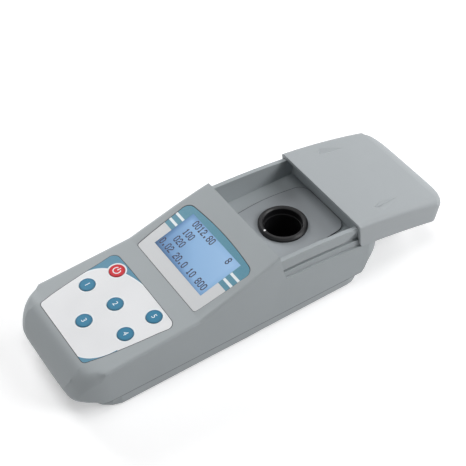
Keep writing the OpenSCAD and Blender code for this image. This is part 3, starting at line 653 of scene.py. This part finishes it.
class ShapeSheet:
    """A Geometry Nodes group with named number inputs, which leaves a plain mesh."""

    def __init__(self, name: str, numbers: dict[str, float]) -> None:
        """Starts the group.

        Args:
            name: The group's name.
            numbers: Its number inputs and their values.
        """
        self.tree = bpy.data.node_groups.new(name, "GeometryNodeTree")
        face = self.tree.interface
        face.new_socket("Geometry", in_out="INPUT", socket_type="NodeSocketGeometry")
        self.values: dict[str, float] = {}
        for label, value in numbers.items():
            socket = face.new_socket(label, in_out="INPUT", socket_type="NodeSocketFloat")
            self.values[socket.identifier] = value
        face.new_socket("Geometry", in_out="OUTPUT", socket_type="NodeSocketGeometry")
        self.start = self.tree.nodes.new("NodeGroupInput")
        self.end = self.tree.nodes.new("NodeGroupOutput")

    def given(self, name: str) -> NodeSocket:
        """One of the group's inputs."""
        return self.start.outputs[name]

    def node(self, kind: str, inputs: dict[str, Any]) -> NodeSocket:
        """Adds a node.

        Args:
            kind: The node's type.
            inputs: Values or sockets by input name.

        Returns:
            The node's first output.
        """
        made = self.tree.nodes.new(kind)
        for label, value in inputs.items():
            if isinstance(value, NodeSocket):
                self.tree.links.new(value, made.inputs[label])
            else:
                made.inputs[label].default_value = value
        return made.outputs[0]

    def run(
        self, shape: NodeSocket, ink: Material, mesh: Mesh
    ) -> Mesh:
        """Ends the group with its finish, and runs it on a mesh.

        Args:
            shape: The group's result.
            ink: The result's finish.
            mesh: The mesh that the group starts from.

        Returns:
            The plain mesh.
        """
        real = self.node("GeometryNodeRealizeInstances", {"Geometry": shape})
        paint = self.node("GeometryNodeSetMaterial", {"Geometry": real, "Material": ink})
        self.tree.links.new(paint, self.end.inputs[0])
        host = placed(mesh.name + "_host", mesh)
        modifier = host.modifiers.new(self.tree.name, "NODES")
        modifier.node_group = self.tree
        for identifier, value in self.values.items():
            modifier[identifier] = value
        final = baked(host)
        bpy.data.objects.remove(host)
        return final


@dataclass
class Mesher:
    """Makes pieces that ride on the meter's bodies."""

    frame: dict[str, Any]
    weld: float = 2e-6
    sliver: float = 1e-6
    broad_face: float = 3.2 * MM
    normal_weight: int = 60

    def body(self, node: str) -> str:
        """The body that a CAD node rides on."""
        return self.frame["nodes"][node]["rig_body"]

    def link(
        self, name: str, mesh: Mesh, body: str, material: Material, slot: Slot
    ) -> Object:
        """Adds a finished mesh as a piece.

        Args:
            name: The piece's name.
            mesh: Its mesh, placed in the shared frame.
            body: The body it rides on.
            material: Its finish.
            slot: Not used.

        Returns:
            The new object.
        """
        mesh.materials.clear()
        mesh.materials.append(material)
        made = placed(name, mesh)
        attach(made, body)
        LOG.info("%s: %d faces on %s", name, len(mesh.polygons), body)
        return made

    def merged(self, node: str) -> bmesh.types.BMesh:
        """A CAD node's loose triangles, joined at their corners.

        Args:
            node: The CAD node.

        Returns:
            The joined mesh, which the caller frees.
        """
        bm = bmesh.new()
        bm.from_mesh(self.frame["nodes"][node].data)
        bmesh.ops.remove_doubles(bm, verts=bm.verts, dist=self.weld)
        bmesh.ops.dissolve_degenerate(bm, edges=bm.edges, dist=self.sliver)
        return bm

    def smooth_copy(
        self, node: str, name: str, material: Material, slot: Slot, crease: Crease = Crease.ROUND,
        shape: Callable[[Vector], Vector] | None = None, cuts: Sequence[float] = ()
    ) -> Object:
        """Shows a CAD node as a merged copy with smooth curves and crisp edges.

        An edge between two broad faces stays crisp at a much smaller turn than one in a fillet.

        Args:
            node: The CAD node.
            name: The new piece's name.
            material: Its finish.
            slot: The record's slot that the finish belongs to.
            crease: Edges that turn more than this stay sharp.
            shape: Moves each point to where the finished shape has it.
            cuts: Heights in millimetres at which the walls get extra points first.

        Returns:
            The new object.
        """
        bm = self.merged(node)
        for height in cuts:
            whole = [*bm.verts, *bm.edges, *bm.faces]
            level = (0, 0, height * MM)
            bmesh.ops.bisect_plane(bm, geom=whole, dist=self.sliver, plane_co=level, plane_no=(0, 0, 1))
        if shape:
            for vert in bm.verts:
                vert.co = shape(vert.co)
            bm.normal_update()
        for face in bm.faces:
            face.smooth = True
        for edge in bm.edges:
            turn = math.degrees(edge.calc_face_angle(0.0)) if len(edge.link_faces) == 2 else 180.0
            length = max(edge.calc_length(), 1e-9)
            broad = min(2 * face.calc_area() / length for face in edge.link_faces)
            edge.smooth = turn < (Crease.BROAD if broad > self.broad_face else crease).value
        mesh = bpy.data.meshes.new(name)
        bm.to_mesh(mesh)
        bm.free()
        made = self.link(name, mesh, self.body(node), material, slot)
        weigh = made.modifiers.new("weighted", "WEIGHTED_NORMAL")
        weigh.keep_sharp = True
        weigh.weight = self.normal_weight
        final = baked(made)
        made.modifiers.clear()
        made.data = final
        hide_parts(node)
        return made

    def top_rim(self, node: str) -> list[Vector]:
        """The outer edge of a plate's top face.

        Args:
            node: The plate's CAD node.

        Returns:
            The rim's points in order, in metres.
        """
        bm = self.merged(node)
        top = {face for face in bm.faces if face.normal.z > 0.9}
        beside: dict[Any, list[Any]] = {}
        for edge in bm.edges:
            if sum(face in top for face in edge.link_faces) == 1:
                for vert in edge.verts:
                    beside.setdefault(vert, []).append(edge.other_vert(vert))
        loops: list[list[Vector]] = []
        left = dict.fromkeys(beside)
        while left:
            here = next(iter(left))
            loop = []
            while here is not None:
                del left[here]
                loop.append(here.co.copy())
                here = next((vert for vert in beside[here] if vert in left), None)
            loops.append(loop)
        bm.free()
        return max(loops, key=lambda lp: sum((a - b).length for a, b in zip(lp, lp[1:] + lp[:1])))

    def dress(self, node: str, material: Material) -> None:
        """Gives a CAD node its finish.

        Args:
            node: The CAD node.
            material: Its finish.
        """
        data = self.frame["nodes"][node].data
        data.materials.clear()
        data.materials.append(material)
        LOG.info("%s: %s", node, material.name)


@dataclass
class Display:
    """The printed label, the lit field and its dot-matrix figures."""

    mesher: Mesher
    rows: tuple[tuple[str, float, float], ...] = (
        ("0012.80", -21.0, 41.4), ("8", 18.6, 40.8), ("100", -20.6, 33.2), ("020", -20.6, 25.6),
        ("0.02 20.0 10 800", -26.3, 17.9))
    letter: float = 3.3
    pitch: tuple[float, float] = (0.5, 0.74)
    dot: tuple[float, float] = (0.74, 0.88)
    dot_thick: float = 0.03
    face_up: float = -0.19
    ink: Colour = linear(14, 16, 58)

    def build(self) -> None:
        """Makes the display."""
        label = DisplayPanel("printed_label").make()
        field = DisplayGlass("lit_field").make()
        self.mesher.smooth_copy("display_label", "display_label_print", label, Slot.LABEL)
        self.mesher.smooth_copy("display_window", "display_field", field, Slot.DISPLAY)
        self.figures()

    def places(self) -> list[Vector]:
        """Where the figures' dots are.

        Returns:
            The dots' middles, in metres.
        """
        spots: list[Vector] = []
        for text, x0, v0 in self.rows:
            for i, letter in enumerate(text):
                for row, cells in enumerate(GLYPHS[letter].split()):
                    for column, cell in enumerate(cells):
                        if cell == "1":
                            x = x0 + i * self.letter + column * self.pitch[0]
                            spots.append(DISPLAY.at(x, v0 - row * self.pitch[1], self.face_up))
        return spots

    def figures(self) -> None:
        """Sets out the figures' dots with Geometry Nodes."""
        mesh = bpy.data.meshes.new("dot_places")
        mesh.from_pydata(self.places(), [], [])
        ink = Ink("dot_ink", self.ink).make()
        width, height = (side * MM for side in self.dot)
        tilt = math.radians(DISPLAY.tilt)
        sheet = ShapeSheet("dot_matrix", {"Dot Width": width, "Dot Height": height, "Tilt": tilt})
        size = sheet.node("ShaderNodeCombineXYZ", {
            "X": sheet.given("Dot Width"), "Y": sheet.given("Dot Height"), "Z": self.dot_thick * MM})
        dots = sheet.node("GeometryNodeInstanceOnPoints", {
            "Points": sheet.given("Geometry"),
            "Instance": sheet.node("GeometryNodeMeshCube", {"Size": (1.0, 1.0, 1.0)}),
            "Rotation": sheet.node("ShaderNodeCombineXYZ", {"X": sheet.given("Tilt")}),
            "Scale": size})
        figures = sheet.run(dots, ink, mesh)
        self.mesher.link("display_figures", figures, self.mesher.body("lcd_glass"), ink, Slot.DARK)


@dataclass
class Keypad:
    """The printed overlay, the key caps and their marks."""

    mesher: Mesher
    cap_top: float = 0.5
    figure_size: float = 5.2
    figure_half: float = 0.01
    figure_lift: float = 0.02
    ring_r: tuple[float, float] = (2.15, 2.85)
    ring_gap: float = 38.0
    ring_steps: int = 40
    bar: tuple[float, float] = (0.7, 2.6)
    bar_v: float = 1.7
    mark_thick: float = 0.03
    mark_lift: float = 0.005
    red: Colour = linear(196, 30, 44)
    teal: Colour = linear(44, 116, 148)
    white: Colour = linear(236, 244, 248)

    def build(self) -> None:
        """Makes the keypad."""
        panel = KeypadPanel("printed_overlay").make()
        self.mesher.smooth_copy("keypad_overlay", "keypad_overlay_print", panel, Slot.OVERLAY)
        white = Ink("key_mark_ink", self.white).make()
        for key in KEYS:
            colour, slot = (self.teal, Slot.TEAL) if key.figure else (self.red, Slot.RED)
            centre = KEYPAD.at(key.x, key.v, 0) / MM
            cap = KeyCap(key.node + "_cap_finish", colour, (centre.x, centre.y)).make()
            self.mesher.smooth_copy(key.node, key.node + "_cap", cap, slot)
            mark = self.figure(key) if key.figure else self.power_mark(key)
            self.mesher.link(key.node + "_mark", mark, self.mesher.body(key.node), white, Slot.WHITE)

    def figure(self, key: Key) -> Mesh:
        """Draws a key's figure.

        Args:
            key: The key.

        Returns:
            The figure's mesh, placed on the key.
        """
        curve = bpy.data.curves.new(key.node + "_mark", "FONT")
        curve.body = key.figure
        curve.size = self.figure_size
        curve.align_x, curve.align_y = "CENTER", "CENTER"
        curve.extrude = self.figure_half
        holder = placed(key.node + "_mark_draft", curve)
        mesh = baked(holder)
        bpy.data.objects.remove(holder)
        mesh.transform(KEYPAD.matrix(key.x, key.v, self.cap_top + self.figure_lift))
        return mesh

    def power_mark(self, key: Key) -> Mesh:
        """Draws the power key's open ring and bar.

        Args:
            key: The power key.

        Returns:
            The mark's mesh, placed on the key.
        """
        bm = bmesh.new()
        inner, outer = self.ring_r
        thick = self.mark_thick
        rows = []
        for i in range(self.ring_steps + 1):
            a = math.radians(90 + self.ring_gap + (360 - 2 * self.ring_gap) * i / self.ring_steps)
            section = ((inner, 0), (outer, 0), (outer, thick), (inner, thick))
            rows.append([bm.verts.new((r * math.cos(a), r * math.sin(a), up)) for r, up in section])
        for near, far in zip(rows, rows[1:]):
            for k in range(4):
                bm.faces.new((near[k], near[(k + 1) % 4], far[(k + 1) % 4], far[k]))
        bm.faces.new(rows[0][::-1])
        bm.faces.new(rows[-1])
        for vert in bmesh.ops.create_cube(bm, size=1.0)["verts"]:
            x, y, z = vert.co
            vert.co = Vector((x * self.bar[0], y * self.bar[1] + self.bar_v, (z + 0.5) * thick))
        bmesh.ops.recalc_face_normals(bm, faces=bm.faces)
        mesh = bpy.data.meshes.new(key.node + "_mark")
        bm.to_mesh(mesh)
        bm.free()
        mesh.transform(KEYPAD.matrix(key.x, key.v, self.cap_top + self.mark_lift))
        return mesh


@dataclass
class Case:
    """The two housings, the lid, the well and the feet."""

    mesher: Mesher
    grey: Colour = linear(160, 166, 169)
    lid_grey: Colour = linear(165, 170, 173)
    plate_grey: Colour = linear(158, 163, 167)
    black: Colour = (0.007, 0.007, 0.008)
    rubber: Colour = (0.02, 0.02, 0.02)
    seam_ink: Colour = linear(52, 56, 60)
    dot_ink: Colour = linear(245, 245, 245)
    part_z: float = 9.0

    track_y: float = 22.0
    track_z: float = -585.6
    roof_r: float = 644.8
    roof_in_r: float = 641.8
    skirt_r: float = 625.5
    lid_crease: float = 13.1
    crease_slack: float = 0.02
    step_len: float = 1.0
    step_down: float = 1.2
    step_in: float = 0.006
    hollow_half_w: float = 30.0
    hollow_ends: tuple[float, float] = (4.9, 11.7)
    hollow_tops: tuple[float, float] = (0.1, -3.4)

    rim_half_w: float = 44.6
    lean: float = 0.045
    lean_z: float = 34.0
    taper: float = 1.4
    taper_y: float = 8.0
    shoulder_y: float = -92.5
    wedge_y: float = 36.6
    edge_curve: tuple[float, float] = (5.5, 5.0)
    edge_reach: tuple[float, float] = (5.6, 5.2)
    edge_fit: float = 1.08
    edge_slack: float = 0.3
    edge_share: float = 0.4

    nose_y: float = -93.0
    nose_len: float = 16.0
    nose_top: float = 17.0
    nose_tuck: float = 7.5
    nose_corner: float = 34.0
    nose_middle: float = 0.3
    nose_side: float = 0.75
    nose_cuts: tuple[float, ...] = (10.0, 11.5, 13.0, 15.0, 17.0)

    belly_half_w: float = 43.4
    belly_out: float = 1.1
    belly_start: float = 36.0
    belly_ease: float = 6.0
    belly_z: float = 0.8
    belly_ends: tuple[float, float] = (-86.0, 91.0)
    belly_curve: tuple[float, float] = (3.9, 3.2)
    belly_reach: tuple[float, float] = (4.1, 3.3)
    belly_fit: float = 1.05
    part_slack: float = 0.05

    seam_out: float = 0.17
    seam_sink: float = 0.12
    seam_radius: float = 0.2
    seam_sides: int = 8

    well_y: float = 69.0
    dot_x: float = -0.1
    dot_z: float = 39.72
    dot_from_well: float = 14.8
    dot_radius: float = 0.75
    dot_thick: float = 0.06

    def build(self) -> None:
        """Makes the case."""
        grey = MouldedPlastic("grey_moulding", self.grey, line_z=self.part_z).make()
        lid = MouldedPlastic("grey_lid_moulding", self.lid_grey).make()
        plate = MouldedPlastic("grey_plate_moulding", self.plate_grey, edge_mm=0.25).make()
        black = MouldedPlastic(
            "black_moulding", self.black, roughness=0.42, grain_mm=0.02, edge_mm=0.3, mottle=0.2).make()
        rubber = MouldedPlastic(
            "black_rubber", self.rubber, roughness=0.8, grain_mm=0.06, edge_mm=0.3, mottle=0.2).make()
        copy = self.mesher.smooth_copy
        copy("upper_housing", "upper_case", grey, Slot.CASE, Crease.PLAIN, self.upper_point, self.nose_cuts)
        copy("lower_housing", "lower_case", grey, Slot.CASE, Crease.ROUND, self.lower_point)
        copy("sliding_lid", "lid_shell", lid, Slot.CASE, Crease.PLAIN, self.lid_point)
        copy("well_platform", "well_plate", plate, Slot.CASE)
        copy("well_collar", "collar_ring", black, Slot.BLACK)
        copy("cell_holder", "cell_tube", black, Slot.BLACK)
        copy("battery_door", "bay_door", grey, Slot.CASE)
        copy("feet", "rubber_feet", rubber, Slot.RUBBER)
        self.index_dot()
        for node in ("display_label", "keypad_overlay", "well_platform"):
            self.seam(node, Ink(node + "_seam_ink", self.seam_ink).make())

    def half_width(self, y: float, top: float) -> float:
        """The upper housing's half width at a Y, where the rim's height is the top."""
        way = min(1.0, max(0.0, (y - self.taper_y) / (self.wedge_y - self.taper_y)))
        return self.rim_half_w - self.lean * max(0.0, top - self.lean_z) - self.taper * way ** 2

    def upper_point(self, point: Vector) -> Vector:
        """Tightens the long edges beside the two panels, and tucks the nose under.

        Args:
            point: A point of the upper housing, in metres.

        Returns:
            The point on the finished shape.
        """
        x, y, z = abs(point.x) / MM, point.y / MM, point.z / MM
        if y < self.nose_y and z < self.nose_top:
            return self.nose_point(point)
        if not self.shoulder_y < y < self.wedge_y + self.edge_slack:
            return point
        top = (DISPLAY if y > DISPLAY.origin[1] else KEYPAD).height(y)
        wide = self.half_width(y, top)
        if x > wide + self.edge_slack or z > top + self.edge_slack:
            return point
        across, down = max(0.0, wide - x), max(0.0, top - z)
        bow = math.sqrt(across / self.edge_curve[0]) + math.sqrt(down / self.edge_curve[1])
        if across > self.edge_reach[0] or down > self.edge_reach[1] or bow > self.edge_fit:
            return point
        side = math.copysign(wide - across * self.edge_share, point.x)
        return Vector((side * MM, point.y, (top - down * self.edge_share) * MM))

    def nose_point(self, point: Vector) -> Vector:
        """Rounds the nose under, towards the parting line.

        Args:
            point: A point low on the nose, in metres.

        Returns:
            The point on the rounded nose.
        """
        low = min(1.0, (self.nose_top - point.z / MM) / (self.nose_top - self.part_z))
        share = min(1.0, (self.nose_y - point.y / MM) / self.nose_len)
        aside = min(1.0, abs(point.x) / MM / self.nose_corner) ** 2
        corner = self.nose_middle + (1 - self.nose_middle) * aside
        bend = 1 - math.sqrt(max(0.0, 1 - low * low))
        tuck = self.nose_tuck * corner * bend * share * share * (3 - 2 * share)
        side = 1 - self.nose_side * tuck / self.rim_half_w * (point.x / MM / self.rim_half_w) ** 2
        return Vector((point.x * side, point.y + tuck * MM, point.z))

    def lower_point(self, point: Vector) -> Vector:
        """Brings the lower housing's sides out, and tightens their bottom edges.

        Args:
            point: A point of the lower housing, in metres.

        Returns:
            The point on the finished side.
        """
        x, y, z = abs(point.x) / MM, point.y / MM, point.z / MM
        if z > self.part_z + self.part_slack or x < self.belly_start:
            return point
        x += self.belly_out * min(1.0, (x - self.belly_start) / self.belly_ease)
        across, up = self.belly_half_w + self.belly_out - x, z - self.belly_z
        bow = across / self.belly_curve[0] + up / self.belly_curve[1]
        near = across < self.belly_reach[0] and up < self.belly_reach[1] and bow < self.belly_fit
        if near and self.belly_ends[0] < y < self.belly_ends[1]:
            x += across * (1 - self.edge_share)
            z -= up * (1 - self.edge_share)
        return Vector((math.copysign(x, point.x) * MM, point.y, z * MM))

    def lid_point(self, point: Vector) -> Vector:
        """Steps the lid's rim in and down behind its straight crease, and leaves its hollow.

        Args:
            point: A point of the lid, in metres.

        Returns:
            The point on the stepped rim.
        """
        y, z = point.y / MM - self.track_y, point.z / MM - self.track_z
        reach, turn = math.hypot(y, z), math.atan2(y, z)
        beyond = (turn - math.radians(self.lid_crease)) * self.roof_r
        wide_end, end = self.hollow_ends
        top = self.roof_in_r + self.hollow_tops[0 if beyond < wide_end else 1]
        hollow = abs(point.x) / MM < self.hollow_half_w and beyond < end and reach < top
        if beyond <= self.crease_slack or hollow:
            return point
        step = min(1.0, beyond / self.step_len)
        share = step * ((reach - self.skirt_r) / (self.roof_r - self.skirt_r)) ** 3
        reach -= self.step_down * share
        y, z = self.track_y + reach * math.sin(turn), self.track_z + reach * math.cos(turn)
        return Vector((point.x * (1 - self.step_in * share), y * MM, z * MM))

    def seam(self, node: str, ink: Material) -> None:
        """Lays the dark seam round a plate with Geometry Nodes.

        Args:
            node: The plate's CAD node.
            ink: The seam's finish.
        """
        rim = self.mesher.top_rim(node)
        middle = sum(rim, Vector()) / len(rim)
        up = Vector((0, 0, 1))
        places = []
        for last, here, after in zip(rim[-1:] + rim[:-1], rim, rim[1:] + rim[:1]):
            out = (after - last).normalized().cross(up).normalized()
            if out.dot(here - middle) < 0:
                out.negate()
            places.append(here + (out * self.seam_out - up * self.seam_sink) * MM)
        count = len(places)
        mesh = bpy.data.meshes.new(node + "_seam_path")
        mesh.from_pydata(places, [(i, (i + 1) % count) for i in range(count)], [])
        sheet = ShapeSheet(node + "_seam_tree", {"Bead Radius": self.seam_radius * MM})
        path = sheet.node("GeometryNodeMeshToCurve", {"Mesh": sheet.given("Geometry")})
        ring = sheet.node("GeometryNodeCurvePrimitiveCircle", {
            "Resolution": self.seam_sides, "Radius": sheet.given("Bead Radius")})
        bead = sheet.node("GeometryNodeCurveToMesh", {"Curve": path, "Profile Curve": ring})
        self.mesher.link(node + "_seam", sheet.run(bead, ink, mesh), self.mesher.body(node), ink, Slot.DARK)

    def index_dot(self) -> None:
        """Prints the white alignment dot on the collar."""
        bm = bmesh.new()
        bmesh.ops.create_cone(
            bm, cap_ends=True, segments=24, radius1=self.dot_radius, radius2=self.dot_radius,
            depth=self.dot_thick)
        mesh = bpy.data.meshes.new("collar_index_dot")
        bm.to_mesh(mesh)
        bm.free()
        place = Vector((self.dot_x, self.well_y - self.dot_from_well, self.dot_z))
        mesh.transform(Matrix.Translation(place * MM) @ Matrix.Scale(MM, 4))
        white = Ink("dot_white", self.dot_ink).make()
        self.mesher.link("collar_index_dot", mesh, self.mesher.body("well_collar"), white, Slot.WHITE)


@dataclass
class Inside:
    """Everything that the case covers."""

    mesher: Mesher
    boards: tuple[str, ...] = ("main_board", "lamp_board", "detector_board", "lcd_board", "keypad_circuit")
    steel: tuple[str, ...] = (
        "optics_screws", "board_screws", "housing_screws", "lcd_frame", "key_domes", "battery_springs",
        "battery_plates")
    clear: tuple[str, ...] = ("lamp", "lamp_lens", "lcd_glass")
    dark: tuple[str, ...] = ("board_parts", "display_gasket", "scatter_detector")
    pale: tuple[str, ...] = ("lcd_backlight",)
    cells: tuple[str, ...] = ("batteries",)

    def build(self) -> None:
        """Dresses the inner nodes."""
        component = MouldedPlastic(
            "black_component", (0.02, 0.02, 0.022), roughness=0.5, grain_mm=0.02, edge_mm=0.0, mottle=0.2)
        light_guide = MouldedPlastic(
            "white_light_guide", (0.8, 0.82, 0.82), roughness=0.4, grain_mm=0.01, edge_mm=0.0)
        jacket = MouldedPlastic(
            "cell_jacket", (0.05, 0.06, 0.08), roughness=0.3, grain_mm=0.01, edge_mm=0.0, mottle=0.3)
        steel = Metal("plated_steel", (0.72, 0.72, 0.74))
        clear = Clear("clear_moulding", (0.9, 0.94, 0.97))
        for finish, nodes in (
                (CircuitBoard("green_board"), self.boards), (steel, self.steel), (clear, self.clear),
                (component, self.dark), (light_guide, self.pale), (jacket, self.cells)):
            material = finish.make()
            for node in nodes:
                self.mesher.dress(node, material)


@dataclass(frozen=True)
class Lamp:
    """A round, soft lamp that looks at the meter."""

    name: str
    place: tuple[float, float, float]
    power: float
    width: float = 0.8
    aim: tuple[float, float, float] = (0.0, 0.02, 0.03)

    def hang(self) -> None:
        """Adds the lamp to the scene."""
        data = bpy.data.lights.new(self.name, "AREA")
        data.shape, data.size, data.energy = "DISK", self.width, self.power
        aimed(self.name, data, self.place, self.aim)


@dataclass
class Studio:
    """The floor, the lamps, the world and the camera."""

    eye: tuple[float, float, float] = (0.43579, -0.26119, 0.58281)
    aim: tuple[float, float, float] = (0.0, 0.02876, 0.05151)
    lens: float = 88.56
    sensor: float = 36.0
    lamps: tuple[Lamp, ...] = (
        Lamp("top_light", (0.0, 0.0, 1.4), 4.2), Lamp("left_light", (-1.2, 0.0, 0.6), 12.4),
        Lamp("rear_light", (0.1, 1.2, 0.7), 5.6), Lamp("rear_right_light", (0.9, 0.9, 0.8), 11.6),
        Lamp("front_light", (0.0, -1.2, 0.5), 3.2))
    floor_half: float = 3.0
    floor_glow: float = 0.37
    floor_pale: Colour = (0.86, 0.86, 0.865)
    floor_dull: Colour = (0.84, 0.84, 0.845)
    world_light: float = 0.02

    def build(self) -> None:
        """Makes the studio."""
        self.camera()
        self.floor()
        self.world()
        for lamp in self.lamps:
            lamp.hang()

    def camera(self) -> None:
        """Puts the camera where the photo was taken from."""
        data = bpy.data.cameras.new("camera")
        data.lens, data.sensor_width = self.lens, self.sensor
        data.clip_start, data.clip_end = 0.01, 20.0
        bpy.context.scene.camera = aimed("camera", data, self.eye, self.aim)

    def floor(self) -> None:
        """Lays a pale floor that the camera sees as white, and that keeps the shadow."""
        sheet = Sheet("pale_floor")
        colour = sheet.mix(sheet.noise(scale=8.0) * 0.1, self.floor_pale, self.floor_dull)
        diffuse = sheet.node("ShaderNodeBsdfDiffuse", {}, {"Color": colour})
        glow = sheet.node("ShaderNodeEmission", {}, {"Strength": sheet.seen() * self.floor_glow})
        sheet.put(sheet.output.inputs[0], sheet.node("ShaderNodeAddShader", {}, {0: diffuse, 1: glow}))
        sheet.tree.nodes.remove(sheet.shader)
        mesh = bpy.data.meshes.new("floor")
        r = self.floor_half
        mesh.from_pydata([(-r, -r, 0), (r, -r, 0), (r, r, 0), (-r, r, 0)], [], [(0, 1, 2, 3)])
        mesh.materials.append(sheet.material)
        made = placed("floor", mesh)

    def world(self) -> None:
        """Surrounds the scene with soft light that the camera sees as white."""
        world = bpy.data.worlds.new("soft_world")
        world.use_nodes = True
        sheet = NodeSheet(world.node_tree)
        back = world.node_tree.nodes["Background"]
        light = {0: sheet.seen(), 2: self.world_light, 3: 1.0}
        sheet.put(back.inputs["Strength"], sheet.node("ShaderNodeMix", {"data_type": "FLOAT"}, light))
        sheet.put(back.inputs["Color"], (1.0, 1.0, 1.0))
        bpy.context.scene.world = world


def main() -> None:
    """Builds the dressed meter."""
    logging.basicConfig(level=logging.INFO, format="%(name)s %(message)s")
    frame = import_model()
    bpy.context.scene.view_settings.view_transform = "Standard"
    mesher = Mesher(frame)
    for part in (Studio(), Case(mesher), Display(mesher), Keypad(mesher), Inside(mesher)):
        part.build()


if __name__ == "__main__":
    main()
